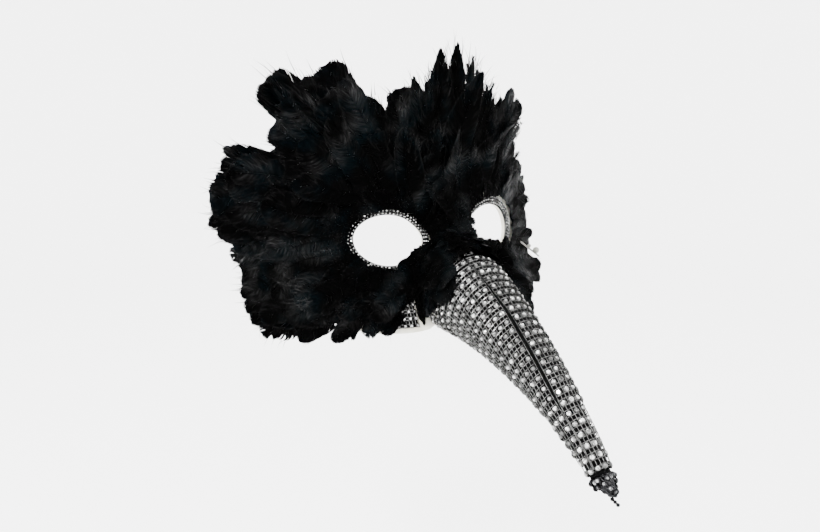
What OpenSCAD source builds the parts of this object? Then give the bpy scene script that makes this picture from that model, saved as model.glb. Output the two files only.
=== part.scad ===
/* [Face shell] */
// Half the width of the half mask, at the temples
half_width = 86; // [82:1:90]
// Height of the brow edge over the nose bridge
brow_height = 42; // [38:1:46]
// Depth of the cheek edge under the nose bridge
cheek_depth = 51; // [48:1:54]
// Wall of the moulded shell
shell_wall = 2.4; // [2:0.1:3]

/* [Eye holes] */
// Distance from the middle line to the centre of an eye hole
eye_x = 37; // [36:0.5:38]
// Half width of an eye hole
eye_half_w = 19.5; // [17:0.5:20]
// Half height of an eye hole
eye_half_h = 15.5; // [13:0.5:16]
// Width of the rhinestone strip round an eye hole
trim_width = 5.5; // [5:0.5:6.5]

/* [Beak] */
// How far the beak tip stands in front of the face
beak_reach = 150; // [130:1:170]
// How far the beak tip hangs under the nose bridge
beak_drop = 101; // [90:1:110]
// Half width of the beak at its broadest, low on the face
beak_root_radius = 31; // [30:0.5:32]
// Outer radius of the beak just behind its tip
beak_tip_radius = 7.5; // [7:0.5:9]

/* [Rhinestone mesh] */
// Thickness of the stone mesh with its net
mesh_thickness = 2.5; // [2:0.1:3]
// Half width of the dark seam between the two mesh panels
seam_half_width = 1.2; // [0.8:0.1:2]

/* [Feathers] */
// Share of the room between its neighbours that a feather fills
feather_fill = 0.97; // [0.8:0.01:0.98]
// Thickness of a feather
feather_thickness = 0.8; // [0.6:0.1:1]
// Angle at which the outer row of feathers stands off the shell
feather_lift = 7; // [6:0.5:10]

/* [Strap eyelets] */
// Bore of an eyelet
eyelet_bore = 4; // [3:0.5:5]
// Flange diameter of an eyelet
eyelet_flange = 9; // [8:0.5:10]

/* [Hidden] */

// Sides: the wearer's right is -X and the left is +X. The beak points to -Y.
RIGHT = -1;
LEFT = 1;
feather_black = [0.03, 0.03, 0.035];
stone_silver = [0.82, 0.83, 0.86];
glue_gap = 0.12;

// ---- small helpers -------------------------------------------------------
function mix(a, b, t) = a + (b - a) * t;
function unit(v) = v / norm(v);
function snap(x) = abs(x) < 0.00001 ? 0 : x;

// Cubic Bezier through four control values or points
function bezier(p, t) =
    pow(1 - t, 3) * p[0] + 3 * pow(1 - t, 2) * t * p[1] + 3 * (1 - t) * t * t * p[2] + t * t * t * p[3];
function bezier_slope(p, t) =
    3 * (pow(1 - t, 2) * (p[1] - p[0]) + 2 * (1 - t) * t * (p[2] - p[1]) + t * t * (p[3] - p[2]));

// Corner cutting of an open outline that keeps its two ends
function cut_corners(p, times) = times == 0 ? p :
    cut_corners(concat([p[0]],
        [for (i = [0:len(p) - 2]) each [mix(p[i], p[i + 1], 0.25), mix(p[i], p[i + 1], 0.75)]],
        [p[len(p) - 1]]), times - 1);

// Distance from a point to an open outline along one direction
function hit(p, from, dir, i) =
    let (a = p[i] - from, e = p[i + 1] - p[i], det = dir[1] * e[0] - dir[0] * e[1],
         along = abs(det) < 0.000001 ? -1 : (a[1] * e[0] - a[0] * e[1]) / det,
         share = abs(det) < 0.000001 ? -1 : (dir[0] * a[1] - dir[1] * a[0]) / det)
    (share >= -0.0001 && share <= 1.0001 && along > 0) ? along : 0;
function reach_to(p, from, dir) = max([for (i = [0:len(p) - 2]) hit(p, from, dir, i)]);

// ---- the face surface ----------------------------------------------------
// Front surface of the bare shell: the inside of the nose bridge is the origin
lean = 0.25;
cup_z = 0.0025;
cup_x = 0.0033;
wrap_x = 0.00000027;
function face_y(x, z) =
    -shell_wall + lean * z - cup_z * z * z + cup_x * x * x + wrap_x * pow(x, 4);
function face_normal(x, z) =
    unit([2 * cup_x * x + 4 * wrap_x * pow(x, 3), -1, lean - 2 * cup_z * z]);
// A point at height h over the shell's front surface
function on_face(x, z, h) = [x, face_y(x, z), z] + h * face_normal(x, z);

// Outline of one half, from the top of the nose notch round the cheek to the brow
notch_top = [0, -4.5];
half_outline = cut_corners([notch_top, [5, -7], [10, -15], [15.5, -26], [17, -38], [14, -cheek_depth],
    [34, -cheek_depth - 2], [66, -cheek_depth], [half_width - 5, -cheek_depth + 12],
    [half_width, -22], [half_width + 1, 4], [half_width - 4, 26], [half_width - 20, brow_height - 1],
    [40, brow_height + 4], [18, brow_height + 3], [0, brow_height]], 2);

// Almond eye hole: its radius about the hole's own centre, for the left half
eye_corner = 2.5;
corner_angle = 184;
function eye_radius(a) =
    eye_half_w * eye_half_h / norm([eye_half_h * cos(a), eye_half_w * sin(a)])
    + eye_corner * pow(max(0, cos(a - corner_angle)), 14);
eye_centre = [eye_x, 0];

// ---- closed solids from grids of points ----------------------------------
// Two skins of the same grid, rows by columns, joined along the open edges.
// ring_cols closes the columns on themselves.
module skin_solid(front, back, ring_cols = false) {
    rows = len(front);
    cols = len(front[0]);
    wraps = ring_cols ? cols : cols - 1;
    base = rows * cols;
    function at(r, c) = r * cols + (c % cols);
    front_faces = [for (r = [0:rows - 2]) for (c = [0:wraps - 1]) each
        [[at(r, c), at(r, c + 1), at(r + 1, c + 1)], [at(r, c), at(r + 1, c + 1), at(r + 1, c)]]];
    back_faces = [for (f = front_faces) [base + f[0], base + f[2], base + f[1]]];
    row_walls = [for (c = [0:wraps - 1]) each
        [[at(0, c), base + at(0, c), at(0, c + 1)],
         [at(0, c + 1), base + at(0, c), base + at(0, c + 1)],
         [at(rows - 1, c), at(rows - 1, c + 1), base + at(rows - 1, c)],
         [at(rows - 1, c + 1), base + at(rows - 1, c + 1), base + at(rows - 1, c)]]];
    col_walls = ring_cols ? [] : [for (r = [0:rows - 2]) each
        [[at(r, 0), at(r + 1, 0), base + at(r, 0)],
         [at(r + 1, 0), base + at(r + 1, 0), base + at(r, 0)],
         [at(r, cols - 1), base + at(r, cols - 1), at(r + 1, cols - 1)],
         [at(r + 1, cols - 1), base + at(r, cols - 1), base + at(r + 1, cols - 1)]]];
    polyhedron(points = concat([for (row = front) each row], [for (row = back) each row]),
        faces = concat(front_faces, back_faces, row_walls, col_walls));
}

// ---- face shell ----------------------------------------------------------
seam_steps = 8;
rim_steps = 60;
ring_shares = [0, 0.1, 0.28, 0.5, 0.74, 1];
function angle_of(v) = atan2(v[1], v[0]);
start_angle = angle_of(notch_top - eye_centre);
end_angle = angle_of([0, brow_height] - eye_centre);
// Rim points of the left half: down the middle line, then round the outline
rim = concat(
    [for (i = [0:seam_steps - 1]) [0, mix(brow_height, notch_top[1], i / seam_steps)]],
    [notch_top],
    [for (j = [1:rim_steps - 1])
        let (a = mix(start_angle, end_angle + (end_angle < start_angle ? 360 : 0), j / rim_steps),
             dir = [cos(a), sin(a)], r = reach_to(half_outline, eye_centre, dir))
        [eye_centre[0] + r * dir[0], eye_centre[1] + r * dir[1]]]);
half_grid = [for (s = ring_shares) [for (p = rim)
    let (a = angle_of(p - eye_centre), hole = eye_centre + eye_radius(a) * [cos(a), sin(a)])
    let (q = s == 1 ? p : mix(hole, p, s)) [snap(q[0]), q[1]]]];

module face_shell() {
    rings = len(half_grid);
    cols = len(rim);
    layer = rings * cols;
    last = rings - 1;
    // The middle line is shared, so the second half points at the first one's seam
    function id(side, skin, r, c) =
        let (k = c % cols, shared = r == last && k <= seam_steps)
        (side == 1 && !shared ? 2 * layer : 0) + skin * layer + r * cols + k;
    function side_faces(side) = concat(
        [for (r = [0:last - 1]) for (c = [0:cols - 1]) each
            [[id(side, 0, r, c), id(side, 0, r, c + 1), id(side, 0, r + 1, c + 1)],
             [id(side, 0, r, c), id(side, 0, r + 1, c + 1), id(side, 0, r + 1, c)],
             [id(side, 1, r, c), id(side, 1, r + 1, c + 1), id(side, 1, r, c + 1)],
             [id(side, 1, r, c), id(side, 1, r + 1, c), id(side, 1, r + 1, c + 1)]]],
        [for (c = [0:cols - 1]) each
            [[id(side, 0, 0, c), id(side, 1, 0, c), id(side, 0, 0, c + 1)],
             [id(side, 0, 0, c + 1), id(side, 1, 0, c), id(side, 1, 0, c + 1)]]],
        [for (c = [seam_steps:cols - 1]) each
            [[id(side, 0, last, c), id(side, 0, last, c + 1), id(side, 1, last, c)],
             [id(side, 0, last, c + 1), id(side, 1, last, c + 1), id(side, 1, last, c)]]]);
    skins = [for (side = [LEFT, RIGHT]) for (h = [0, -shell_wall]) for (ring = half_grid) for (p = ring)
        on_face(side * p[0], p[1], h)];
    faces_left = side_faces(0);
    faces_right = [for (f = side_faces(1)) [f[0], f[2], f[1]]];
    color([0.85, 0.84, 0.8]) difference() {
        polyhedron(points = skins, faces = concat(faces_left, faces_right));
        for (side = [LEFT, RIGHT])
            at_eyelet(side) cylinder(h = 4 * shell_wall, d = eyelet_bore + 2, center = true, $fn = 32);
    }
}

// ---- strap eyelets -------------------------------------------------------
eyelet_x = half_width - 7;
eyelet_z = 6;
module at_eyelet(side) {
    n = face_normal(side * eyelet_x, eyelet_z);
    translate(on_face(side * eyelet_x, eyelet_z, -shell_wall / 2))
        rotate([0, acos(n[2]), atan2(n[1], n[0])])
            children();
}
module eyelet(side) {
    flange = 0.8;
    barrel_r = eyelet_bore / 2 + 0.8;
    half = shell_wall / 2 + 0.35;
    color([0.08, 0.08, 0.08]) at_eyelet(side) rotate_extrude($fn = 48)
        polygon([[eyelet_bore / 2, -half - flange], [eyelet_flange / 2, -half - flange],
                 [eyelet_flange / 2, -half], [barrel_r, -half], [barrel_r, half],
                 [eyelet_flange / 2, half], [eyelet_flange / 2, half + flange],
                 [eyelet_bore / 2, half + flange]]);
}
module right_eyelet() { eyelet(RIGHT); }
module left_eyelet() { eyelet(LEFT); }

// ---- beak ----------------------------------------------------------------
// Centre line in the middle plane, as [y, z], and the outer radius along it
beak_line = [[-4, -27], [-0.317 * beak_reach, -0.3 * beak_drop], [-0.783 * beak_reach, -0.61 * beak_drop],
             [-beak_reach, -beak_drop]];
beak_radii = [beak_root_radius, 0.728 * beak_root_radius, 0.358 * beak_root_radius, beak_tip_radius];
root_centre = [0, -27];
free_start = 0.2;
beak_steps = 14;
root_steps = 3;
beak_sides = 36;
// The mesh and its cloth end here, and the wrapped tip starts
skin_end = 0.965;
// The beak is a little taller than wide, by this share of its radius
tall = 0.04;
function beak_section(t, a, inset) =
    let (c = bezier(beak_line, t), s = unit(bezier_slope(beak_line, t)),
         r = bezier(beak_radii, t) - inset, rise = (1 + tall) * r * cos(a))
    [-(1 - tall) * r * sin(a), c[0] + s[1] * rise, c[1] - s[0] * rise];
// The beak stands on the face in an egg shape, slim at the nose bridge and broad below
root_half_height = 30;
function root_half_width(a) = beak_root_radius * (0.37 + 0.63 * pow((1 - cos(a)) / 2, 0.65));
function root_outline(a, inset) =
    root_centre + [-(root_half_width(a) - inset) * sin(a), (root_half_height - inset) * cos(a)];
function beak_root(a, inset) = let (p = root_outline(a, inset)) on_face(p[0], p[1], glue_gap);
function beak_point(k, a, inset) = k < root_steps
    ? mix(beak_root(a, inset), beak_section(free_start, a, inset), k / root_steps)
    : beak_section(mix(free_start, skin_end, (k - root_steps) / beak_steps), a, inset);
function beak_ring(k, inset) = [for (i = [0:beak_sides - 1]) beak_point(k, i * 360 / beak_sides, inset)];

cloth_inset = mesh_thickness + glue_gap;
cloth_wall = 0.7;
base_inset = cloth_inset + cloth_wall + glue_gap;
base_wall = 2;

beak_last = root_steps + beak_steps;
module beak_shell() {
    last = beak_last;
    outer = [for (k = [0:last]) beak_ring(k, base_inset)];
    inner = [for (k = [0:last - 1]) beak_ring(k, base_inset + base_wall)];
    rows = concat(outer, [for (k = [last - 1:-1:0]) inner[k]]);
    count = len(rows);
    n = beak_sides;
    nose = [for (row = [outer[last], inner[last - 1]]) [for (i = row) 1] * row / n];
    // Rows run down the outside; the inside starts again at its own closed end
    function quad(r0, r1, i) = let (j = (i + 1) % n)
        [[r0 * n + i, r0 * n + j, r1 * n + j], [r0 * n + i, r1 * n + j, r1 * n + i]];
    outside = [for (r = [0:last - 1]) for (i = [0:n - 1]) each quad(r, r + 1, i)];
    inside = [for (r = [last + 1:count - 2]) for (i = [0:n - 1]) each quad(r, r + 1, i)];
    root = [for (i = [0:n - 1]) each quad(count - 1, 0, i)];
    front_cap = [for (i = [0:n - 1]) [last * n + i, last * n + (i + 1) % n, count * n]];
    inner_cap = [for (i = [0:n - 1]) [(last + 1) * n + (i + 1) % n, (last + 1) * n + i, count * n + 1]];
    color([0.85, 0.84, 0.8])
        polyhedron(points = concat([for (row = rows) each row], nose),
            faces = concat(outside, front_cap, inside, inner_cap, root));
}

// A skin round the beak between two angles, both from the top towards the wearer's right
function wrap_grid(from, to, steps, first, last, inset, narrow = 0) = [for (k = [first:last])
    [for (i = [0:steps])
        let (r = norm(beak_point(k, 0, inset) - beak_point(k, 180, inset)) / 2,
             gap = narrow / r * 180 / PI)
        beak_point(k, mix(from(k) + gap, to(k) - gap, i / steps), inset)]];

module beak_backing_cloth() {
    color([0.02, 0.02, 0.02]) skin_solid(
        [for (k = [0:beak_last]) beak_ring(k, cloth_inset)],
        [for (k = [0:beak_last]) beak_ring(k, cloth_inset + cloth_wall)], ring_cols = true);
}

// The seam leaves the top line and drifts to the wearer's right: step along the beak and angle
seam_table = [[0, 17], [4, 18], [7, 22], [10, 34], [13, 51], [17, 58]];
function seam_angle(k) = lookup(k, seam_table);
module mesh_panel(from, to) {
    color(stone_silver) skin_solid(
        wrap_grid(from, to, 14, 0, beak_last, 0, seam_half_width),
        wrap_grid(from, to, 14, 0, beak_last, mesh_thickness, seam_half_width));
}
module right_mesh_panel() { mesh_panel(function (k) seam_angle(k), function (k) 180); }
module left_mesh_panel() { mesh_panel(function (k) -180, function (k) seam_angle(k)); }

// Mesh skirts that run from the beak's side over the lower cheeks, and taper outwards
skirt_x = [27.5, 58];
skirt_top = [-32, -41];
module cheek_mesh(side) {
    cols = 8;
    function skirt(h) = [for (i = [0:cols])
        let (x = mix(skirt_x[0], skirt_x[1], i / cols), top = mix(skirt_top[0], skirt_top[1], i / cols))
        [for (share = [0:0.25:1]) on_face(side * x, mix(1 - cheek_depth, top, share), h)]];
    low_skin = skirt(glue_gap);
    high_skin = skirt(glue_gap + mesh_thickness);
    color(stone_silver) {
        if (side == LEFT) skin_solid(low_skin, high_skin);
        if (side == RIGHT) skin_solid(high_skin, low_skin);
    }
}
module right_cheek_mesh() { cheek_mesh(RIGHT); }
module left_cheek_mesh() { cheek_mesh(LEFT); }

// ---- tip -----------------------------------------------------------------
// The gathered end of the mesh is one closed cap in front of the panels
tip_slope = unit(bezier_slope(beak_line, skin_end));
tip_foot = bezier(beak_line, skin_end);
tip_radius = bezier(beak_radii, skin_end);
tip_length = 9;
module at_tip() {
    translate([0, tip_foot[0], tip_foot[1]]) rotate([atan2(-tip_slope[0], tip_slope[1]), 0, 0]) children();
}
module tip_wrap() {
    color([0.25, 0.25, 0.26]) at_tip() rotate_extrude($fn = 48)
        polygon(concat([[0, glue_gap], [tip_radius, glue_gap]],
            [for (a = [14:14:84]) [tip_radius * pow(cos(a), 0.8), glue_gap + tip_length * sin(a)]],
            [[0, glue_gap + tip_length]]));
}
module tip_beads() {
    bead_r = 1.1;
    pitch = 2 * bead_r + 0.3;
    drift = [0.5, 0.9];
    color([0.2, 0.2, 0.22]) at_tip()
        for (k = [0:2])
            translate([k * drift[0], k * drift[1], tip_length + 2 * glue_gap + bead_r + k * pitch])
                sphere(r = bead_r, $fn = 32);
}

// ---- eye trims -----------------------------------------------------------
module eye_trim(side) {
    overhang = 0.6;
    steps = 48;
    // The strip is narrower by the nose, where two strips and the bridge share the space
    nose_saving = 1.1;
    function strip(share, h) = [for (i = [0:steps - 1])
        let (a = i * 360 / steps, width = trim_width - nose_saving * pow(max(0, cos(a - corner_angle)), 2),
             r = eye_radius(a) - overhang + share * width)
        on_face(side * (eye_x + r * cos(a)), r * sin(a), h)];
    low_skin = [for (s = [0, 0.5, 1]) strip(s, glue_gap)];
    high_skin = [for (s = [0, 0.5, 1]) strip(s, glue_gap + mesh_thickness)];
    color(stone_silver) {
        if (side == LEFT) skin_solid(high_skin, low_skin, ring_cols = true);
        if (side == RIGHT) skin_solid(low_skin, high_skin, ring_cols = true);
    }
}
module right_eye_trim() { eye_trim(RIGHT); }
module left_eye_trim() { eye_trim(LEFT); }

// ---- feathers ------------------------------------------------------------
// Feathers stand in rows round the nose bridge, like shingles, the inner rows on top.
feather_hub = [0, -15];
// Reach of the longest feathers from the hub, by angle from the wearer's left, up over the head
reach_table = [[-60, 60], [-51, 68], [-45, 76], [-40, 86], [-30, 75], [-24, 83], [-18, 105], [0, 99],
    [9, 104], [24, 106], [33, 98], [39, 95], [45, 107], [57, 122], [63, 106], [69, 104], [78, 116],
    [84, 128], [88, 133], [93, 118], [102, 109], [108, 105], [115, 97], [119, 118], [126, 138], [130, 153],
    [135, 140], [144, 125], [148, 148], [165, 141], [170, 127], [195, 124], [201, 112], [207, 84],
    [213, 64], [222, 53], [240, 43]];
// Feathers are never shorter than this in the outer row, and in the others
shortest = [12, 20];
// Each row stands nearer the hub, and its feathers are spaced by these angles
row_shares = [1, 0.85, 0.7, 0.56, 0.43];
row_steps = [10, 10, 11, 12, 14];
// Every row stands a little higher and steeper than the one outside it
foot_height = 0.6;
row_rise = 0.7;
row_lift = 3;
first_angle = -58;
last_angle = 238;
function folded(a) = a > 90 ? 180 - a : a;
function rim_reach(a) = reach_to(half_outline, feather_hub, [cos(folded(a)), sin(folded(a))]) - 4;
function base_radius(row, a) = row_shares[row] * rim_reach(a);
function base_at(row, a) = feather_hub + base_radius(row, a) * [cos(a), sin(a)];
function feather_length(row, a) =
    let (full = lookup(a, reach_table) - rim_reach(a)) max(shortest[min(row, 1)], full * (1 - 0.14 * row));
function feather_width(row, a) =
    2 * feather_fill * (base_radius(row, a) + 0.3 * feather_length(row, a)) * tan(row_steps[row] / 2);
function eye_clear(p, margin) =
    let (d = [abs(p[0]), p[1]] - eye_centre) norm(d) > eye_radius(angle_of(d)) + trim_width + margin;
function beak_clear(p, margin) =
    let (v = p - root_centre, a = atan2(abs(v[0]), v[1]))
    norm(v) > norm(root_outline(a, 0) - root_centre) + margin;
// A feather is left out where it would cross an eye hole or the beak
function has_room(row, a) =
    let (p = base_at(row, a), l = feather_length(row, a), d = [cos(a), sin(a)],
         margin = 0.3 * feather_width(row, a))
    min([for (s = [-0.05, 0.2, 0.45, 0.7, 1]) let (q = p + s * l * d)
        (eye_clear(q, margin) && beak_clear(q, margin)) ? 1 : 0]) == 1;

// Half outline of a feather, as shares of its length and width
feather_outline = [[0, 0.1], [0.1, 0.3], [0.3, 0.46], [0.55, 0.5], [0.8, 0.44], [0.93, 0.28], [1, 0.08]];
module feather(row, a) {
    p = base_at(row, a);
    lift = feather_lift + row_lift * row;
    n = face_normal(p[0], p[1]);
    near = p + 0.1 * [cos(a), sin(a)];
    ahead = on_face(near[0], near[1], 0) - on_face(p[0], p[1], 0);
    flat_dir = unit(ahead - (ahead * n) * n);
    out = unit(cos(lift) * flat_dir + sin(lift) * n);
    up = unit(n - (n * out) * out);
    across = cross(up, out);
    foot = on_face(p[0], p[1], foot_height + row_rise * row);
    length = feather_length(row, a);
    width = feather_width(row, a);
    multmatrix([[out[0], across[0], up[0], foot[0]],
                [out[1], across[1], up[1], foot[1]],
                [out[2], across[2], up[2], foot[2]],
                [0, 0, 0, 1]])
        linear_extrude(feather_thickness)
            polygon(concat([for (q = feather_outline) [q[0] * length, q[1] * width]],
                [for (i = [len(feather_outline) - 1:-1:0])
                    [feather_outline[i][0] * length, -feather_outline[i][1] * width]]));
}
module feather_rows(rows, from, to) {
    color(feather_black)
        for (row = rows) {
            step = row_steps[row];
            start = first_angle + (row % 2) * step / 2;
            for (k = [0:floor((last_angle - start) / step)]) {
                a = start + k * step;
                if (a >= from && a < to && has_room(row, a)) feather(row, a);
            }
        }
}
module right_crest_feathers() { feather_rows([0], 90, 142); }
module left_crest_feathers() { feather_rows([0], 38, 90); }
module right_crown_feathers() { feather_rows([1], 90, 142); }
module left_crown_feathers() { feather_rows([1], 38, 90); }
module right_temple_feathers() { feather_rows([0, 1], 142, 190); }
module left_temple_feathers() { feather_rows([0, 1], -10, 38); }
module right_brow_feathers() { feather_rows([2, 3, 4], 90, 190); }
module left_brow_feathers() { feather_rows([2, 3, 4], -10, 90); }
module right_cheek_feathers() { feather_rows([0], 190, 240); }
module left_cheek_feathers() { feather_rows([0], -60, -10); }
module right_jaw_feathers() { feather_rows([1, 2, 3], 190, 240); }
module left_jaw_feathers() { feather_rows([1, 2, 3], -60, -10); }

// ---- loose quill and its glue --------------------------------------------
quill_foot = on_face(58, -14, 9);
quill_end = on_face(90, -33, 11);
quill_r = 0.6;
bead_radii = [1.3, 2.2];
bead_shares = [0.3, 0.62];
module stripped_quill() {
    d = quill_end - quill_foot;
    color([0.55, 0.53, 0.48]) translate(quill_foot) rotate([0, acos(d[2] / norm(d)), atan2(d[1], d[0])])
        cylinder(h = norm(d), r = quill_r, $fn = 24);
}
module glue_beads() {
    outward = face_normal(58, -14);
    color([0.6, 0.6, 0.56]) for (i = [0, 1])
        translate(mix(quill_foot, quill_end, bead_shares[i]) + (bead_radii[i] + quill_r + glue_gap) * outward)
            sphere(r = bead_radii[i], $fn = 32);
}

face_shell();
beak_shell();
beak_backing_cloth();
right_mesh_panel();
left_mesh_panel();
right_cheek_mesh();
left_cheek_mesh();
tip_wrap();
tip_beads();
right_eye_trim();
left_eye_trim();
right_eyelet();
left_eyelet();
right_crest_feathers();
left_crest_feathers();
right_crown_feathers();
left_crown_feathers();
right_temple_feathers();
left_temple_feathers();
right_brow_feathers();
left_brow_feathers();
right_cheek_feathers();
left_cheek_feathers();
right_jaw_feathers();
left_jaw_feathers();
stripped_quill();
glue_beads();
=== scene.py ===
"""Plague doctor mask: the finished looks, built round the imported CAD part.

Sizes are in millimetres until a mesh is written, where they become metres. The wearer's right is -X,
the beak points to -Y and +Z is up.
"""

import logging
import math
from dataclasses import dataclass
from enum import Enum
from typing import Dict, List, Optional, Sequence, Tuple

import bmesh
import bpy
import numpy as np
from mathutils import Matrix, Vector


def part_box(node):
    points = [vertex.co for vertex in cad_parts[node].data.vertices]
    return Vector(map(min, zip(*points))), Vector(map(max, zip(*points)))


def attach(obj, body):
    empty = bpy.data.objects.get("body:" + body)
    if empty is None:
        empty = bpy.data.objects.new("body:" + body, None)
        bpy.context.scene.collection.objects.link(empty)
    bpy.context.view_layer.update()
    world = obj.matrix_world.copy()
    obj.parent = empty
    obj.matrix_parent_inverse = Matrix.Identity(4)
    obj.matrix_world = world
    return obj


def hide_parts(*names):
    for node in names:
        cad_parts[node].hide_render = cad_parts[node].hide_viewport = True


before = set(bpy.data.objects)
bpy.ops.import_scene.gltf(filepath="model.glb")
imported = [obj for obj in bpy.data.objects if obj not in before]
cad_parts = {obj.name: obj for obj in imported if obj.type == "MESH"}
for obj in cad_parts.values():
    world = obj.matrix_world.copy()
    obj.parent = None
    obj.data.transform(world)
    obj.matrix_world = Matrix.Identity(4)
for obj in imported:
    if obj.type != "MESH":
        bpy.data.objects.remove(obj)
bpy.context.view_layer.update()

log = logging.getLogger("mask")

MM = 0.001
RIGHT = -1
LEFT = 1
BODY = "root"
# Seeds of the random draws for the stones and for the shapes of the feathers
STONE_SEED = 5
FEATHER_SEED = 3

Array = np.ndarray
Faces = List[Tuple[int, ...]]


# ---- small maths -----------------------------------------------------------
def unit(v: Array) -> Array:
    """Scale vectors to length one.

    Args:
        v: Vectors along the last axis.

    Returns:
        The vectors with length one.
    """
    return v / np.maximum(np.linalg.norm(v, axis=-1, keepdims=True), 1e-12)


def bezier(p: Sequence, t: Array) -> Array:
    """Cubic Bezier through four control values.

    Args:
        p: Four numbers or four arrays.
        t: Parameter, 0 to 1.

    Returns:
        The value at each t.
    """
    u = 1.0 - t
    return u**3 * p[0] + 3 * u * u * t * p[1] + 3 * u * t * t * p[2] + t**3 * p[3]


def smooth_step(x: Array) -> Array:
    """Ease from 0 to 1 as x goes from 0 to 1."""
    x = np.clip(x, 0.0, 1.0)
    return x * x * (3 - 2 * x)


# ---- mesh helpers ----------------------------------------------------------
def new_object(
    name: str, verts: Array, faces: Faces, smooth: bool, uv: Optional[Array] = None
) -> bpy.types.Object:
    """Make an object from millimetre vertices.

    Args:
        name: Name of the piece.
        verts: Vertices, N by 3, in millimetres.
        faces: Vertex numbers of each face.
        smooth: True to shade the faces smooth.
        uv: Optional pattern coordinates of each vertex, N by 2.

    Returns:
        The object, linked to the scene.
    """
    mesh = bpy.data.meshes.new(name)
    mesh.from_pydata((verts * MM).tolist(), [], faces)
    mesh.polygons.foreach_set("use_smooth", [smooth] * len(mesh.polygons))
    if uv is not None:
        layer = mesh.uv_layers.new(name="pattern")
        loops = np.zeros(len(mesh.loops), np.int32)
        mesh.loops.foreach_get("vertex_index", loops)
        layer.data.foreach_set("uv", uv[loops].astype(np.float32).ravel())
    mesh.update()
    obj = bpy.data.objects.new(name, mesh)
    bpy.context.scene.collection.objects.link(obj)
    return obj


def arrays_of(bm: bmesh.types.BMesh) -> Tuple[Array, Faces]:
    """Read the vertices and faces of a bmesh, and free it.

    Args:
        bm: The bmesh.

    Returns:
        Vertices N by 3, and the vertex numbers of each face.
    """
    bm.verts.index_update()
    verts = np.array([v.co[:] for v in bm.verts], float).reshape(-1, 3)
    faces = [tuple(v.index for v in f.verts) for f in bm.faces]
    bm.free()
    return verts, faces


def merge(parts: Sequence[Tuple[Array, Faces]]) -> Tuple[Array, Faces]:
    """Put several vertex and face lists into one.

    Args:
        parts: Pairs of vertices and faces.

    Returns:
        One pair of vertices and faces.
    """
    verts, faces, base = [], [], 0
    for v, f in parts:
        verts.append(v)
        faces.extend(tuple(i + base for i in face) for face in f)
        base += len(v)
    return np.concatenate(verts), faces


def copies(template: Tuple[Array, Faces], frames: Array) -> Tuple[Array, Faces]:
    """Stand a small template at many places.

    Args:
        template: Vertices and faces of one copy.
        frames: N by 3 by 4, each a 3 by 3 turn and size and a place.

    Returns:
        Vertices and faces of all the copies.
    """
    v, f = template
    placed = np.einsum("nij,vj->nvi", frames[:, :, :3], v) + frames[:, None, :, 3]
    faces = [tuple(i + k * len(v) for i in face) for k in range(len(frames)) for face in f]
    return placed.reshape(-1, 3), faces


def wires(name: str, lines: Sequence[Array], radius: float) -> Tuple[Array, Faces]:
    """Round wires along lines, made as a bevelled curve.

    Args:
        name: Name for the helper curve.
        lines: Each a list of points, in millimetres.
        radius: Wire radius in millimetres.

    Returns:
        Vertices in millimetres and faces.
    """
    curve = bpy.data.curves.new(name, "CURVE")
    curve.dimensions = "3D"
    curve.bevel_depth = radius
    curve.bevel_resolution = 0
    curve.use_fill_caps = True
    for line in lines:
        spline = curve.splines.new("POLY")
        spline.points.add(len(line) - 1)
        spline.points.foreach_set("co", np.c_[line, np.ones(len(line))].ravel())
    holder = bpy.data.objects.new(name, curve)
    mesh = bpy.data.meshes.new_from_object(holder)
    bm = bmesh.new()
    bm.from_mesh(mesh)
    bpy.data.objects.remove(holder)
    bpy.data.curves.remove(curve)
    bpy.data.meshes.remove(mesh)
    return arrays_of(bm)


def skin(front: Array, back: Array, ring: bool) -> Tuple[Array, Faces]:
    """Close two grids of the same size into one thin solid.

    Args:
        front: Outer grid, rows by columns by 3.
        back: Inner grid of the same size.
        ring: True if the columns close on themselves.

    Returns:
        Vertices and faces with the faces pointing out.
    """
    rows, cols = front.shape[:2]
    bm = bmesh.new()
    layers = [[[bm.verts.new(p) for p in row] for row in grid] for grid in (front, back)]
    count = cols if ring else cols - 1
    for r in range(rows - 1):
        for c in range(count):
            d = (c + 1) % cols
            for layer in layers:
                bm.faces.new((layer[r][c], layer[r][d], layer[r + 1][d], layer[r + 1][c]))
    for r in (0, rows - 1):
        for c in range(count):
            d = (c + 1) % cols
            bm.faces.new((layers[0][r][c], layers[0][r][d], layers[1][r][d], layers[1][r][c]))
    if not ring:
        for c in (0, cols - 1):
            for r in range(rows - 1):
                bm.faces.new((layers[0][r][c], layers[0][r + 1][c], layers[1][r + 1][c], layers[1][r][c]))
    bmesh.ops.recalc_face_normals(bm, faces=bm.faces)
    return arrays_of(bm)


# ---- materials -------------------------------------------------------------
def hex_linear(code: str) -> Tuple[float, float, float, float]:
    """Turn an sRGB hex colour to linear.

    Args:
        code: Six hex digits after a hash sign.

    Returns:
        Linear red, green, blue and an alpha of one.
    """
    channels = [int(code[i : i + 2], 16) / 255 for i in (1, 3, 5)]
    linear = [c / 12.92 if c <= 0.04045 else ((c + 0.055) / 1.055) ** 2.4 for c in channels]
    return (linear[0], linear[1], linear[2], 1.0)


def add_node(
    tree: bpy.types.NodeTree,
    kind: str,
    settings: Optional[Dict[str, object]] = None,
    values: Optional[Dict[object, object]] = None,
    links: Optional[Dict[object, bpy.types.NodeSocket]] = None,
) -> bpy.types.Node:
    """Add one node with its settings, socket values and links.

    Args:
        tree: The node tree.
        kind: Node type name.
        settings: Properties of the node.
        values: Input sockets and their values.
        links: Input sockets and the outputs they take.

    Returns:
        The node.
    """
    node = tree.nodes.new(kind)
    for key, value in (settings or {}).items():
        setattr(node, key, value)
    for key, value in (values or {}).items():
        node.inputs[key].default_value = value
    for key, socket in (links or {}).items():
        tree.links.new(socket, node.inputs[key])
    return node


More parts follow.
